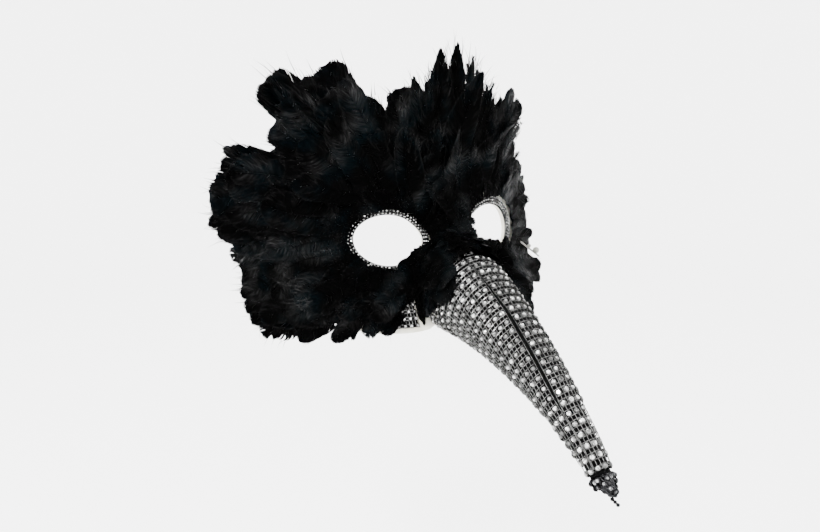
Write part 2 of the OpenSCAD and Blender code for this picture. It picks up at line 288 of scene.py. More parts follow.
def noise(
    tree: bpy.types.NodeTree, at: bpy.types.NodeSocket, patch_mm: float, detail: float
) -> bpy.types.NodeSocket:
    """Cloudy noise with patches of a real size.

    Args:
        tree: The material's nodes.
        at: Coordinates in metres.
        patch_mm: Size of a patch in millimetres.
        detail: How many finer layers it has.

    Returns:
        The noise, mostly between 0.3 and 0.7.
    """
    values = {"Scale": 1 / (patch_mm * MM), "Detail": detail}
    return add_node(tree, "ShaderNodeTexNoise", values=values, links={"Vector": at}).outputs["Fac"]


def spread(
    tree: bpy.types.NodeTree,
    value: bpy.types.NodeSocket,
    low: float,
    high: float,
    start: float = 0.0,
    stop: float = 1.0,
) -> bpy.types.NodeSocket:
    """Carry a value from one range to another, held at the ends.

    Args:
        tree: The material's nodes.
        value: The value.
        low: What comes out at start.
        high: What comes out at stop.
        start: Where the first range starts.
        stop: Where it stops.

    Returns:
        The new value.
    """
    ends = {"From Min": start, "From Max": stop, "To Min": low, "To Max": high}
    return add_node(tree, "ShaderNodeMapRange", values=ends, links={"Value": value}).outputs["Result"]


def product(
    tree: bpy.types.NodeTree, one: bpy.types.NodeSocket, other: bpy.types.NodeSocket
) -> bpy.types.NodeSocket:
    """Multiply two values."""
    node = add_node(tree, "ShaderNodeMath", {"operation": "MULTIPLY"}, links={0: one, 1: other})
    return node.outputs["Value"]


def ramp(
    tree: bpy.types.NodeTree, value: bpy.types.NodeSocket, stops: Sequence[Tuple[float, str]]
) -> bpy.types.NodeSocket:
    """Colour a value.

    Args:
        tree: The material's nodes.
        value: The value.
        stops: Places and hex colours, two or more.

    Returns:
        The colour.
    """
    node = add_node(tree, "ShaderNodeValToRGB", links={"Fac": value})
    elements = node.color_ramp.elements
    while len(elements) < len(stops):
        elements.new(0.5)
    for element, (place, colour) in zip(elements, stops):
        element.position = place
        element.color = hex_linear(colour)
    return node.outputs["Color"]


@dataclass(frozen=True)
class Relief:
    """Fine relief of a finish: how strongly it shades and how deep it is."""

    strength: float
    depth_mm: float

    def surface(
        self,
        tree: bpy.types.NodeTree,
        shader: bpy.types.Node,
        colour: bpy.types.NodeSocket,
        rough: bpy.types.NodeSocket,
        height: bpy.types.NodeSocket,
    ) -> None:
        """Link colour, roughness and relief to the shader.

        Args:
            tree: The material's nodes.
            shader: Its main shader.
            colour: Base colour.
            rough: Roughness.
            height: Height of the relief.
        """
        values = {"Strength": self.strength, "Distance": self.depth_mm * MM}
        bump = add_node(tree, "ShaderNodeBump", values=values, links={"Height": height})
        tree.links.new(colour, shader.inputs["Base Color"])
        tree.links.new(rough, shader.inputs["Roughness"])
        tree.links.new(bump.outputs["Normal"], shader.inputs["Normal"])


class Finish:
    """A finish: its common name and the nodes that draw it."""

    name = "finish"

    def shade(self, tree: bpy.types.NodeTree, shader: bpy.types.Node) -> None:
        """Link the nodes of the finish to the shader."""

    def make(self) -> bpy.types.Material:
        """Make the material.

        Returns:
            The material.
        """
        material = bpy.data.materials.new(self.name)
        material.use_nodes = True
        tree = material.node_tree
        self.shade(tree, tree.nodes["Principled BSDF"])
        return material


@dataclass(frozen=True)
class MouldedPlastic(Finish):
    """Vacuum-formed styrene half mask, bare: satin and slightly uneven, with warm stains."""

    name: str = "moulded_styrene"
    colour: str = "#d9d7cd"
    stain: str = "#b4b0a0"
    roughness: float = 0.42
    cloud_mm: float = 22.22
    grain_mm: float = 0.6
    relief: Relief = Relief(0.18, 0.25)
    index: float = 1.55

    def shade(self, tree: bpy.types.NodeTree, shader: bpy.types.Node) -> None:
        """Pale colour with cloudy stains, a fine orange peel and uneven gloss.

        Args:
            tree: The material's nodes.
            shader: Its main shader.
        """
        at = add_node(tree, "ShaderNodeTexCoord").outputs["Object"]
        cloud = noise(tree, at, self.cloud_mm, 5.0)
        peel = noise(tree, at, self.grain_mm, 2.0)
        tint = ramp(tree, cloud, [(0.34, self.stain), (0.58, self.colour)])
        rough = spread(tree, cloud, self.roughness + 0.14, self.roughness - 0.08)
        self.relief.surface(tree, shader, tint, rough, peel)
        shader.inputs["IOR"].default_value = self.index


@dataclass(frozen=True)
class BackingCloth(Finish):
    """Black cotton glued to the beak: matt, with its weave and a little lint."""

    name: str = "black_cotton"
    colour: str = "#030303"
    lint: str = "#0c0c0d"
    thread_mm: float = 0.9
    lint_mm: float = 1.111
    relief: Relief = Relief(0.6, 0.3)
    gloss: float = 0.03

    def shade(self, tree: bpy.types.NodeTree, shader: bpy.types.Node) -> None:
        """Two crossed thread bands, drawn coarse enough to show, and flecks of lint.

        Args:
            tree: The material's nodes.
            shader: Its main shader.
        """
        at = add_node(tree, "ShaderNodeTexCoord").outputs["Object"]
        threads = {"Scale": 0.5 / (self.thread_mm * MM), "Distortion": 1.5, "Detail": 1.0}
        warp = add_node(tree, "ShaderNodeTexWave", {"bands_direction": "X"}, threads, {"Vector": at})
        weft = add_node(tree, "ShaderNodeTexWave", {"bands_direction": "Z"}, threads, {"Vector": at})
        both = {0: warp.outputs["Fac"], 1: weft.outputs["Fac"]}
        weave = add_node(tree, "ShaderNodeMath", {"operation": "MAXIMUM"}, links=both)
        fleck = noise(tree, at, self.lint_mm, 3.0)
        tint = ramp(tree, fleck, [(0.55, self.colour), (0.8, self.lint)])
        self.relief.surface(tree, shader, tint, spread(tree, fleck, 0.8, 1.0), weave.outputs["Value"])
        shader.inputs["Specular IOR Level"].default_value = self.gloss


@dataclass(frozen=True)
class MirroredPlastic(Finish):
    """Vacuum-metallised acrylic: mirror stones, some dull or smoky, with painted glints and a painted
    highlight on each table.
    """

    name: str = "metallised_acrylic"
    # Top of the ramp: bright mirror metal and painted glints
    bright_and_glint: str = "#d2d2d0"
    middle: str = "#646463"
    # Bottom of the ramp: smoky stones, and painted shade on the stone sides and in small cells
    smoky_and_shaded: str = "#101010"
    edge: str = "#5a5a5a"
    low_rough: float = 0.12
    high_rough: float = 0.3
    patch_mm: float = 2.6
    glint_cell_mm: float = 0.85
    scuff_mm: float = 0.3846
    relief: Relief = Relief(0.12, 0.1)

    def shade(self, tree: bpy.types.NodeTree, shader: bpy.types.Node) -> None:
        """Metal whose tone and gloss change from stone to stone, with painted glints in small cells, a
        painted highlight towards each table and fine scuffs.

        Args:
            tree: The material's nodes.
            shader: Its main shader.
        """
        at = add_node(tree, "ShaderNodeTexCoord").outputs["Object"]
        patch = noise(tree, at, self.patch_mm, 2.0)
        pattern = add_node(tree, "ShaderNodeUVMap", {"uv_map": "pattern"}).outputs["UV"]
        split = add_node(tree, "ShaderNodeSeparateXYZ", links={"Vector": pattern})
        # Brighter towards each stone's table: partly the foil-backed table, partly a painted highlight
        tone = product(tree, split.outputs["X"], spread(tree, split.outputs["Y"], 0.42, 1.0))
        level = product(tree, tone, spread(tree, patch, 0.72, 1.0, 0.3, 0.6))
        # Painted glints: small cells of the base colour made brighter or darker
        cells = {"Scale": 1 / (self.glint_cell_mm * MM)}
        glint_cells = add_node(tree, "ShaderNodeTexVoronoi", values=cells, links={"Vector": at}).outputs["Color"]
        draw = add_node(tree, "ShaderNodeSeparateXYZ", links={"Vector": glint_cells}).outputs["X"]
        glint = product(tree, level, spread(tree, draw, 0.5, 1.25))
        tint = ramp(tree, glint, [(0.06, self.smoky_and_shaded), (0.45, self.middle), (0.9, self.bright_and_glint)])
        rough = spread(tree, patch, self.high_rough, self.low_rough, 0.3, 0.65)
        self.relief.surface(tree, shader, tint, rough, noise(tree, at, self.scuff_mm, 2.0))
        shader.inputs["Metallic"].default_value = 1.0
        shader.inputs["Specular Tint"].default_value = hex_linear(self.edge)


@dataclass(frozen=True)
class DyedVane(Finish):
    """Dyed hen and goose feather: deep cool black barbs with a silky sheen and grey barb ends, painted light
    shining through them.
    """

    name: str = "dyed_feather"
    black: str = "#010101"
    cool: str = "#010304"
    brown: str = "#010101"
    # Grey of the barb ends: painted light shining through thin barbs
    backlit_tips: str = "#0c0c0c"
    barb_count: float = 2.0
    dull_gloss: float = 0.004
    silky_gloss: float = 0.17
    cloud_mm: float = 16.67
    sheen_mm: float = 18.18
    streak: Tuple[float, float, float] = (1.7, 0.5, 1.0)
    streak_scale: float = 3.0
    relief: Relief = Relief(0.55, 0.22)

    def sheen(
        self, tree: bpy.types.NodeTree, at: bpy.types.NodeSocket, pattern: bpy.types.NodeSocket
    ) -> bpy.types.NodeSocket:
        """Gloss that comes in streaks along the barbs, on some parts of the plumage only.

        Args:
            tree: The material's nodes.
            at: Coordinates in metres.
            pattern: Coordinates on the vane.

        Returns:
            The specular level.
        """
        lit = spread(tree, noise(tree, at, self.sheen_mm, 1.0), 0.0, 1.0, 0.5, 0.7)
        times = {"operation": "MULTIPLY"}
        stretch = add_node(tree, "ShaderNodeVectorMath", times, {1: self.streak}, {0: pattern})
        values = {"Scale": self.streak_scale, "Detail": 3.0}
        streak = add_node(
            tree, "ShaderNodeTexNoise", values=values, links={"Vector": stretch.outputs["Vector"]}
        ).outputs["Fac"]
        both = product(tree, lit, spread(tree, streak, 0.0, 1.0, 0.48, 0.68))
        return spread(tree, both, self.dull_gloss, self.silky_gloss)

    def shade(self, tree: bpy.types.NodeTree, shader: bpy.types.Node) -> None:
        """Barb ridges across the vane from its own map, with slow colour changes and a painted glow at the
        barb ends.

        Args:
            tree: The material's nodes.
            shader: Its main shader.
        """
        at = add_node(tree, "ShaderNodeTexCoord").outputs["Object"]
        pattern = add_node(tree, "ShaderNodeUVMap", {"uv_map": "pattern"}).outputs["UV"]
        split = add_node(tree, "ShaderNodeSeparateXYZ", links={"Vector": pattern})
        cloud = noise(tree, at, self.cloud_mm, 4.0)
        tint = ramp(tree, cloud, [(0.36, self.brown), (0.48, self.black), (0.64, self.cool)])
        # Painted backlight: the barb ends turn grey as if lit through from behind
        ends = spread(tree, split.outputs["Y"], 0.0, 1.0, 0.8, 1.1)
        backlit_tips = add_node(
            tree,
            "ShaderNodeMix",
            {"data_type": "RGBA"},
            {"B": hex_linear(self.backlit_tips)},
            {"Factor": ends, "A": tint},
        )
        turns = {1: self.barb_count * 2 * math.pi}
        along = add_node(tree, "ShaderNodeMath", {"operation": "MULTIPLY"}, turns, {0: split.outputs["X"]})
        ridge = add_node(tree, "ShaderNodeMath", {"operation": "SINE"}, links={0: along.outputs["Value"]})
        rough = spread(tree, cloud, 0.42, 0.24)
        self.relief.surface(tree, shader, backlit_tips.outputs["Result"], rough, ridge.outputs["Value"])
        tree.links.new(self.sheen(tree, at, pattern), shader.inputs["Specular IOR Level"])


@dataclass(frozen=True)
class HornQuill(Finish):
    """Stripped quill: dull grey horn with darker streaks and dried glue on it."""

    name: str = "feather_horn"
    pale: str = "#55534c"
    dark: str = "#1c1b18"
    streak_mm: float = 2.381
    relief: Relief = Relief(0.3, 0.2)

    def shade(self, tree: bpy.types.NodeTree, shader: bpy.types.Node) -> None:
        """Streaked horn, satin.

        Args:
            tree: The material's nodes.
            shader: Its main shader.
        """
        at = add_node(tree, "ShaderNodeTexCoord").outputs["Object"]
        streak = noise(tree, at, self.streak_mm, 3.0)
        tint = ramp(tree, streak, [(0.35, self.dark), (0.6, self.pale)])
        self.relief.surface(tree, shader, tint, spread(tree, streak, 0.6, 0.35), streak)


@dataclass(frozen=True)
class DriedGlue(HornQuill):
    """Hot-melt glue, set: milky grey, glossy and lumpy."""

    name: str = "hot_melt_glue"
    pale: str = "#77776f"
    dark: str = "#4b4b45"


@dataclass(frozen=True)
class Enamel(Finish):
    """Enamelled brass eyelet: smooth black with brassy scratches at the rolled rim."""

    name: str = "black_enamel"
    colour: str = "#101012"
    scratch: str = "#6d5c3a"
    mark_mm: float = 1.429
    relief: Relief = Relief(0.15, 0.1)

    def shade(self, tree: bpy.types.NodeTree, shader: bpy.types.Node) -> None:
        """Black enamel with a few scratches.

        Args:
            tree: The material's nodes.
            shader: Its main shader.
        """
        at = add_node(tree, "ShaderNodeTexCoord").outputs["Object"]
        mark = noise(tree, at, self.mark_mm, 6.0)
        tint = ramp(tree, mark, [(0.62, self.colour), (0.7, self.scratch)])
        self.relief.surface(tree, shader, tint, spread(tree, mark, 0.22, 0.45), mark)


@dataclass(frozen=True)
class StudioPaper(Finish):
    """Seamless paper: matt and almost white."""

    name: str = "studio_paper"
    colour: str = "#fafafa"
    roughness: float = 0.9
    gloss: float = 0.1

    def shade(self, tree: bpy.types.NodeTree, shader: bpy.types.Node) -> None:
        """Plain matt paper."""
        shader.inputs["Base Color"].default_value = hex_linear(self.colour)
        shader.inputs["Roughness"].default_value = self.roughness
        shader.inputs["Specular IOR Level"].default_value = self.gloss


# ---- forms shared by the pieces --------------------------------------------
@dataclass(frozen=True)
class FaceForm:
    """Front surface of the bare half mask."""

    wall: float = 2.4
    lean: float = 0.25
    cup_z: float = 0.0025
    cup_x: float = 0.0033
    wrap_x: float = 2.7e-7
    eye_x: float = 37.0
    eye_half_w: float = 19.5
    eye_half_h: float = 15.5
    eye_corner: float = 2.5
    corner_angle: float = 184.0
    hub: Tuple[float, float] = (0.0, -15.0)
    corners: Tuple[Tuple[float, float], ...] = (
        (0, -4.5), (5, -7), (10, -15), (15.5, -26), (17, -38), (14, -51), (34, -53), (66, -51),
        (81, -39), (86, -22), (87, 4), (82, 26), (66, 41), (40, 46), (18, 45), (0, 42),
    )

    def depth(self, x: Array, z: Array) -> Array:
        """Y of the front surface at x and z."""
        return -self.wall + self.lean * z - self.cup_z * z * z + self.cup_x * x * x + self.wrap_x * x**4

    def normal(self, x: Array, z: Array) -> Array:
        """Outward normal of the front surface at x and z.

        Args:
            x: Across, millimetres.
            z: Up, millimetres.

        Returns:
            The normals.
        """
        x, z = np.asarray(x, float), np.asarray(z, float)
        slope_x = 2 * self.cup_x * x + 4 * self.wrap_x * x**3
        slope_z = self.lean - 2 * self.cup_z * z
        return unit(np.stack([slope_x, -np.ones_like(slope_x), slope_z + 0 * slope_x], axis=-1))

    def point(self, x: Array, z: Array, height: Array) -> Array:
        """Points at a height over the front surface.

        Args:
            x: Across, millimetres.
            z: Up, millimetres.
            height: Height over the surface.

        Returns:
            The points.
        """
        x, z, height = np.broadcast_arrays(*(np.asarray(v, float) for v in (x, z, height)))
        base = np.stack([x, self.depth(x, z), z], axis=-1)
        return base + height[..., None] * self.normal(x, z)

    def outline(self) -> Array:
        """Half outline from the nose notch round the cheek to the brow, corners cut twice.

        Returns:
            Points in x and z.
        """
        line = np.array(self.corners, float)
        for _ in range(2):
            near, far = line[:-1], line[1:]
            cut = np.stack([near * 0.75 + far * 0.25, near * 0.25 + far * 0.75], axis=1).reshape(-1, 2)
            line = np.vstack([line[:1], cut, line[-1:]])
        return line

    def rim(self, angle: float) -> float:
        """Distance from the hub to the outline at an angle in degrees, the same on both sides.

        Args:
            angle: Degrees from the wearer's left.

        Returns:
            The distance.
        """
        folded = 180 - angle if angle > 90 else angle
        ray = np.array([math.cos(math.radians(folded)), math.sin(math.radians(folded))])
        line = self.outline() - np.array(self.hub)
        step = np.diff(line, axis=0)
        det = ray[1] * step[:, 0] - ray[0] * step[:, 1]
        det = np.where(abs(det) < 1e-9, 1e-9, det)
        along = (line[:-1, 1] * step[:, 0] - line[:-1, 0] * step[:, 1]) / det
        share = (ray[0] * line[:-1, 1] - ray[1] * line[:-1, 0]) / det
        good = (share >= -1e-4) & (share <= 1.0001) & (along > 0)
        return float(along[good].max())

    def eye_radius(self, degrees: Array) -> Array:
        """Radius of an eye hole about its own centre; 0 points away from the nose.

        Args:
            degrees: Angles round the eye.

        Returns:
            The radii.
        """
        a = np.radians(degrees)
        wide, high = self.eye_half_w, self.eye_half_h
        oval = wide * high / np.hypot(high * np.cos(a), wide * np.sin(a))
        return oval + self.eye_corner * np.maximum(0, np.cos(a - math.radians(self.corner_angle))) ** 14

    def eye_gap(self, x: float, z: float) -> float:
        """How far a point is outside the nearer eye hole; negative inside."""
        dx, dz = abs(x) - self.eye_x, z
        return math.hypot(dx, dz) - float(self.eye_radius(math.degrees(math.atan2(dz, dx))))


@dataclass(frozen=True)
class BeakForm:
    """The beak's outer surface: k runs from 0 on the face to 17 where the gathered end starts."""

    face: FaceForm
    line: Tuple[Tuple[float, float], ...] = ((-4, -27), (-47.55, -30.3), (-117.45, -61.61), (-150, -101))
    radii: Tuple[float, ...] = (31.0, 22.568, 11.098, 7.5)
    root_centre: Tuple[float, float] = (0.0, -27.0)
    root_half_height: float = 30.0
    free_start: float = 0.2
    skin_end: float = 0.965
    root_steps: int = 3
    steps: int = 14
    tall: float = 0.04
    root_gap: float = 0.12
    seam_line: Tuple[Tuple[float, float], ...] = ((0, 17), (4, 18), (7, 22), (10, 34), (13, 51), (17, 58))

    @property
    def last(self) -> int:
        """The k at which the mesh ends."""
        return self.root_steps + self.steps

    def section(self, t: Array, angle: Array, inset: Array) -> Array:
        """Points of the free beak.

        Args:
            t: Share along the centre line.
            angle: Degrees from the top towards the wearer's right.
            inset: Depth under the outer surface.

        Returns:
            The points.
        """
        control = np.array(self.line, float)
        t, angle, inset = np.broadcast_arrays(*(np.asarray(v, float) for v in (t, angle, inset)))
        centre = np.stack([bezier(control[:, i], t) for i in (0, 1)], axis=-1)
        ahead = np.stack([bezier(control[:, i], t + 1e-3) for i in (0, 1)], axis=-1)
        slope = unit(ahead - centre)
        r = bezier(self.radii, t) - inset
        a = np.radians(angle)
        rise = (1 + self.tall) * r * np.cos(a)
        return np.stack(
            [
                -(1 - self.tall) * r * np.sin(a),
                centre[..., 0] + slope[..., 1] * rise,
                centre[..., 1] - slope[..., 0] * rise,
            ],
            axis=-1,
        )

    def root_width(self, angle: Array) -> Array:
        """Half width of the egg where the beak stands on the face."""
        low = (1 - np.cos(np.radians(angle))) / 2
        return self.radii[0] * (0.37 + 0.63 * low**0.65)

    def root(self, angle: Array, inset: Array) -> Array:
        """Points of the egg on the face.

        Args:
            angle: Degrees from the top.
            inset: How far inside the edge.

        Returns:
            The points.
        """
        angle, inset = np.broadcast_arrays(*(np.asarray(v, float) for v in (angle, inset)))
        a = np.radians(angle)
        x = self.root_centre[0] - (self.root_width(angle) - inset) * np.sin(a)
        z = self.root_centre[1] + (self.root_half_height - inset) * np.cos(a)
        return self.face.point(x, z, self.root_gap)

    def point(self, k: Array, angle: Array, inset: Array) -> Array:
        """Points on the beak.

        Args:
            k: Step along the beak, 0 at the face.
            angle: Degrees from the top towards the wearer's right.
            inset: Depth under the outer surface.

        Returns:
            The points.
        """
        k, angle, inset = np.broadcast_arrays(*(np.asarray(v, float) for v in (k, angle, inset)))
        t = self.free_start + (self.skin_end - self.free_start) * (k - self.root_steps) / self.steps
        free = self.section(np.maximum(t, self.free_start), angle, inset)
        share = np.clip(k / self.root_steps, 0, 1)[..., None]
        return self.root(angle, inset) * (1 - share) + free * share

    def normal(self, k: Array, angle: Array) -> Array:
        """Outward normal at steps and angles.

        Args:
            k: Step along the beak.
            angle: Degrees from the top.

        Returns:
            The normals.
        """
        along = self.point(k + 0.02, angle, 0.0) - self.point(k - 0.02, angle, 0.0)
        around = self.point(k, angle + 0.5, 0.0) - self.point(k, angle - 0.5, 0.0)
        return unit(np.cross(around, along))

    def seam(self, k: Array) -> Array:
        """Angle of the seam at a step."""
        table = np.array(self.seam_line)
        return np.interp(k, table[:, 0], table[:, 1])

    def row_steps(self, pitch: float, first: float, last: float) -> Array:
        """Steps k that stand a pitch apart along the middle of the beak's side.

        Args:
            pitch: Distance between rows.
            first: Where the rows start.
            last: Where they end.

        Returns:
            The steps.
        """
        k = np.linspace(first, last, 600)
        path = self.point(k, 60.0, 0.0)
        run = np.concatenate([[0], np.cumsum(np.linalg.norm(np.diff(path, axis=0), axis=1))])
        return np.interp(np.arange(pitch / 2, run[-1], pitch), run, k)

    def columns(self, k: float, side: int, offsets: Array) -> Tuple[Array, float]:
        """Angles at which columns cross one row.

        Args:
            k: Step of the row.
            side: RIGHT or LEFT of the seam.
            offsets: Distances from the seam round the beak.

        Returns:
            The angle of each column and the distance from the seam to the underside.
        """
        start, end = float(self.seam(k)), 180.0 if side == RIGHT else -180.0
        angles = np.linspace(start, end, 160)
        ring = self.point(k, angles, 0.0)
        run = np.concatenate([[0], np.cumsum(np.linalg.norm(np.diff(ring, axis=0), axis=1))])
        return np.interp(offsets, run, angles), float(run[-1])


# ---- rhinestone mesh -------------------------------------------------------
@dataclass(frozen=True)
class StoneNet:
    """A net of round facetted stones: sizes of the stones, the wires and the pitch."""

    radius: float = 1.98
    height: float = 1.65
    sides: int = 8
    across: float = 5.0
    along: float = 5.9
    wire: float = 0.27
    wire_tone: float = 0.44
    base: float = 2.1

    def stone(self) -> Tuple[Array, Faces]:
        """One stone: a low drum with a crown and a table, its foot at z 0.

        Returns:
            Vertices and faces.
        """
        bm = bmesh.new()
        bmesh.ops.create_cone(
            bm,
            cap_ends=True,
            segments=self.sides,
            radius1=self.radius * 0.94,
            radius2=self.radius,
            depth=self.height * 0.35,
            matrix=Matrix.Translation((0, 0, self.height * 0.175)),
        )
        for share, rise in ((0.76, 0.36), (0.56, 0.29)):
            top = max(bm.faces, key=lambda f: f.calc_center_median().z)
            made = bmesh.ops.extrude_face_region(bm, geom=[top])
            bmesh.ops.delete(bm, geom=[top], context="FACES_ONLY")
            moved = [v for v in made["geom"] if isinstance(v, bmesh.types.BMVert)]
            bmesh.ops.scale(bm, vec=(share, share, 1), verts=moved)
            bmesh.ops.translate(bm, vec=(0, 0, self.height * rise), verts=moved)
        bmesh.ops.recalc_face_normals(bm, faces=bm.faces)
        return arrays_of(bm)

    def marks(self, template: Array, count: int, rng: np.random.Generator) -> Array:
        """Pattern coordinates of stones: tone from the girdle to the table, partly the foil-backed table and
        partly a painted highlight, and a number for each stone.

        Args:
            template: Vertices of one stone.
            count: How many stones there are.
            rng: Seeded generator.

        Returns:
            Coordinates of every vertex, N by 2.
        """
        # Brighter towards the table: partly the foil-backed table, partly a painted highlight
        rise = 0.2 + 0.8 * np.clip(template[:, 2] / self.height, 0, 1) ** 4.4
        return np.stack([np.tile(rise, count), np.repeat(rng.uniform(0, 1, count), len(template))], axis=-1)

    def wire_marks(self, count: int) -> Array:
        """Pattern coordinates of wires: one middling tone."""
        return np.tile([self.wire_tone, 0.5], (count, 1))

    def frames(self, places: Array, normals: Array, rng: np.random.Generator, tilt: float = 9.0) -> Array:
        """Stand stones at places, each turned and tilted a little.

        Args:
            places: Foot points, N by 3.
            normals: Outward directions.
            rng: Seeded generator.
            tilt: Largest tilt in degrees.

        Returns:
            N by 3 by 4 frames.
        """
        n = len(places)
        lean = math.tan(math.radians(tilt)) * rng.uniform(-1, 1, (n, 3))
        up = unit(normals + lean)
        side = unit(np.cross(up, np.array([0.31, 0.17, 0.93])))
        other = np.cross(up, side)
        spin = rng.uniform(0, 2 * math.pi, n)[:, None]
        a = side * np.cos(spin) + other * np.sin(spin)
        b = np.cross(up, a)
        size = rng.uniform(0.93, 1.05, n)[:, None]
        return np.stack([a * size, b * size, up * size, places], axis=-1)


@dataclass(frozen=True)
class BeakMesh:
    """Two panels of stone net wrapped round the beak, their seam, cloth and gathered end."""

    beak: BeakForm
    net: StoneNet
    stones: bpy.types.Material
    cloth: bpy.types.Material
    seam_gap: float = 0.95
    cloth_inset: float = 2.62
    cloth_wall: float = 0.7
    first_row: float = 0.35
    bare: Tuple[Tuple[float, float, float, float], ...] = (
        (14.1, -62, 1.5, 27), (16.3, 132, 0.55, 15), (14.7, 136, 0.35, 12), (12.6, 139, 0.35, 10),
    )

    def bareness(self, k: Array, angle: Array) -> Array:
        """How far stones and cloth are drawn back at a place, 0 to 1.

        Args:
            k: Step along the beak.
            angle: Degrees from the top.

        Returns:
            The share.
        """
        k, angle = np.broadcast_arrays(np.asarray(k, float), np.asarray(angle, float))
        turn = np.where(angle > 180, angle - 360, angle)
        out = np.zeros(k.shape)
        for at_k, at_angle, long, wide in self.bare:
            out = np.maximum(out, 1 - ((k - at_k) / long) ** 2 - ((turn - at_angle) / wide) ** 2)
        return np.clip(out * 2.2, 0, 1)

    def seam_half(self, k: float) -> float:
        """Half width of the dark seam: widest half way down, closed at the root and the tip.

        Args:
            k: Step along the beak.

        Returns:
            Half the width.
        """
        return 0.05 + self.seam_gap * float(smooth_step(np.array((k - 3) / 5))) * float(
            1 - smooth_step(np.array((k - 11.6) / 2.2))
        )

    def panel(self, side: int, rng: np.random.Generator) -> bpy.types.Object:
        """One panel of stones and wires.

        Args:
            side: RIGHT or LEFT.
            rng: Seeded generator.

        Returns:
            The piece.
        """
        net, beak = self.net, self.beak
        rows = beak.row_steps(net.along, self.first_row, beak.last - 0.05)
        places, normals, across = [], [], []
        lines: Dict[int, List[Array]] = {}
        ended: Dict[int, bool] = {}
        for i, k in enumerate(rows):
            half = self.seam_half(k)
            steps = np.arange(0, 60)
            centres = half + (steps + 0.5) * net.across
            angles, room = beak.columns(k, side, centres)
            ragged = rng.uniform(-0.3, 0.6)
            ok = (centres < room - net.across * ragged) & (self.bareness(k, angles) < 0.3)
            spots = beak.point(np.full(ok.sum(), k), angles[ok], net.base)
            places.append(spots)
            normals.append(beak.normal(np.full(ok.sum(), k), angles[ok]))
            reach = max(half + 1.2, centres[ok].max() + 2.0)
            band, _ = beak.columns(k, side, np.arange(half + 0.6, reach, 2.0))
            for lift in (-0.29, 0.29):
                step = (rows[min(i + 1, len(rows) - 1)] - rows[max(i - 1, 0)]) / 2
                kept = band[self.bareness(k + lift * step, band) < 0.2]
                if len(kept) > 1:
                    across.append(beak.point(k + lift * step, kept, net.base - 0.75))
            wire_at = half + 0.25 + np.arange(0, 120) * net.across / 2
            wire_angles, _ = beak.columns(k, side, wire_at)
            for j in range(120):
                covered = self.bareness(k, wire_angles[j]) < 0.2
                if wire_at[j] < room + 0.5 and not ended.get(j) and covered:
                    lines.setdefault(j, []).append(beak.point(k, wire_angles[j], net.base - 0.85))
                elif j in lines:
                    ended[j] = True
        place, normal = np.concatenate(places), np.concatenate(normals)
        stone = net.stone()
        parts = [copies(stone, net.frames(place, normal, rng))]
        long_lines = [np.array(line) for line in lines.values() if len(line) > 1]
        parts.append(wires("net_along", long_lines, net.wire))
        parts.append(wires("net_across", across, net.wire))
        marks = [net.marks(stone[0], len(place), rng)] + [net.wire_marks(len(part[0])) for part in parts[1:]]
        verts, faces = merge(parts)
        name = "right_stone_panel" if side == RIGHT else "left_stone_panel"
        obj = new_object(name, verts, faces, smooth=False, uv=np.concatenate(marks))
        obj.data.materials.append(self.stones)
        log.info("%s: %d stones", name, len(place))
        return obj

    def sleeve(self) -> bpy.types.Object:
        """The black cloth sleeve under the stones.

        Returns:
            The piece.
        """
        k = np.linspace(0, self.beak.last, 70)
        a = np.arange(0, 360, 5.0)
        ripple = 0.12 * np.sin(np.radians(a) * 11)[None, :] * np.sin(k * 2.3)[:, None]
        grid_k, grid_a = np.meshgrid(k, a, indexing="ij")
        sunk = self.bareness(grid_k, grid_a) * 1.4
        front = self.beak.point(grid_k, grid_a, self.cloth_inset + ripple + sunk)
        back = self.beak.point(grid_k, grid_a, self.cloth_inset + self.cloth_wall + sunk)
        verts, faces = skin(front, back, ring=True)
        obj = new_object("black_cloth_sleeve", verts, faces, smooth=True)
        obj.data.materials.append(self.cloth)
        return obj

    def seam(self, rng: np.random.Generator) -> bpy.types.Object:
        """The raised fold of cloth in the seam, with loose fibres.

        Args:
            rng: Seeded generator.

        Returns:
            The piece.
        """
        k = np.linspace(3.2, 13.9, 100)
        half = np.array([self.seam_half(v) for v in k])
        turn = half / np.array([float(bezier(self.beak.radii, v / self.beak.last)) for v in k])
        offsets = np.linspace(-1, 1, 7)
        angle = self.beak.seam(k)[:, None] + np.degrees(turn)[:, None] * offsets[None, :]
        grid_k = np.repeat(k[:, None], 7, axis=1)
        crown = (1 - offsets**2)[None, :] * (1.15 + 0.35 * np.sin(k * 5.1) * np.sin(k * 1.7))[:, None]
        front = self.beak.point(grid_k, angle, 2.45 - crown)
        back = self.beak.point(grid_k, angle, 2.6)
        parts = [skin(front, back, ring=False)]
        hairs = []
        for _ in range(420):
            kk = rng.uniform(3.4, 13.6)
            spread = np.degrees(self.seam_half(kk) / float(bezier(self.beak.radii, kk / self.beak.last)))
            a0 = float(self.beak.seam(kk)) + rng.uniform(-1, 1) * spread
            root = self.beak.point(kk, a0, 1.9)
            n = self.beak.normal(np.array(kk), np.array(a0))
            drift = rng.normal(0, 0.55, 3)
            hairs.append(np.array([root, root + 0.7 * n + drift, root + 1.1 * n + 2.1 * drift]))
        parts.append(wires("seam_hair", hairs, 0.07))
        verts, faces = merge(parts)
        obj = new_object("seam_fold", verts, faces, smooth=True)
        obj.data.materials.append(self.cloth)
        return obj

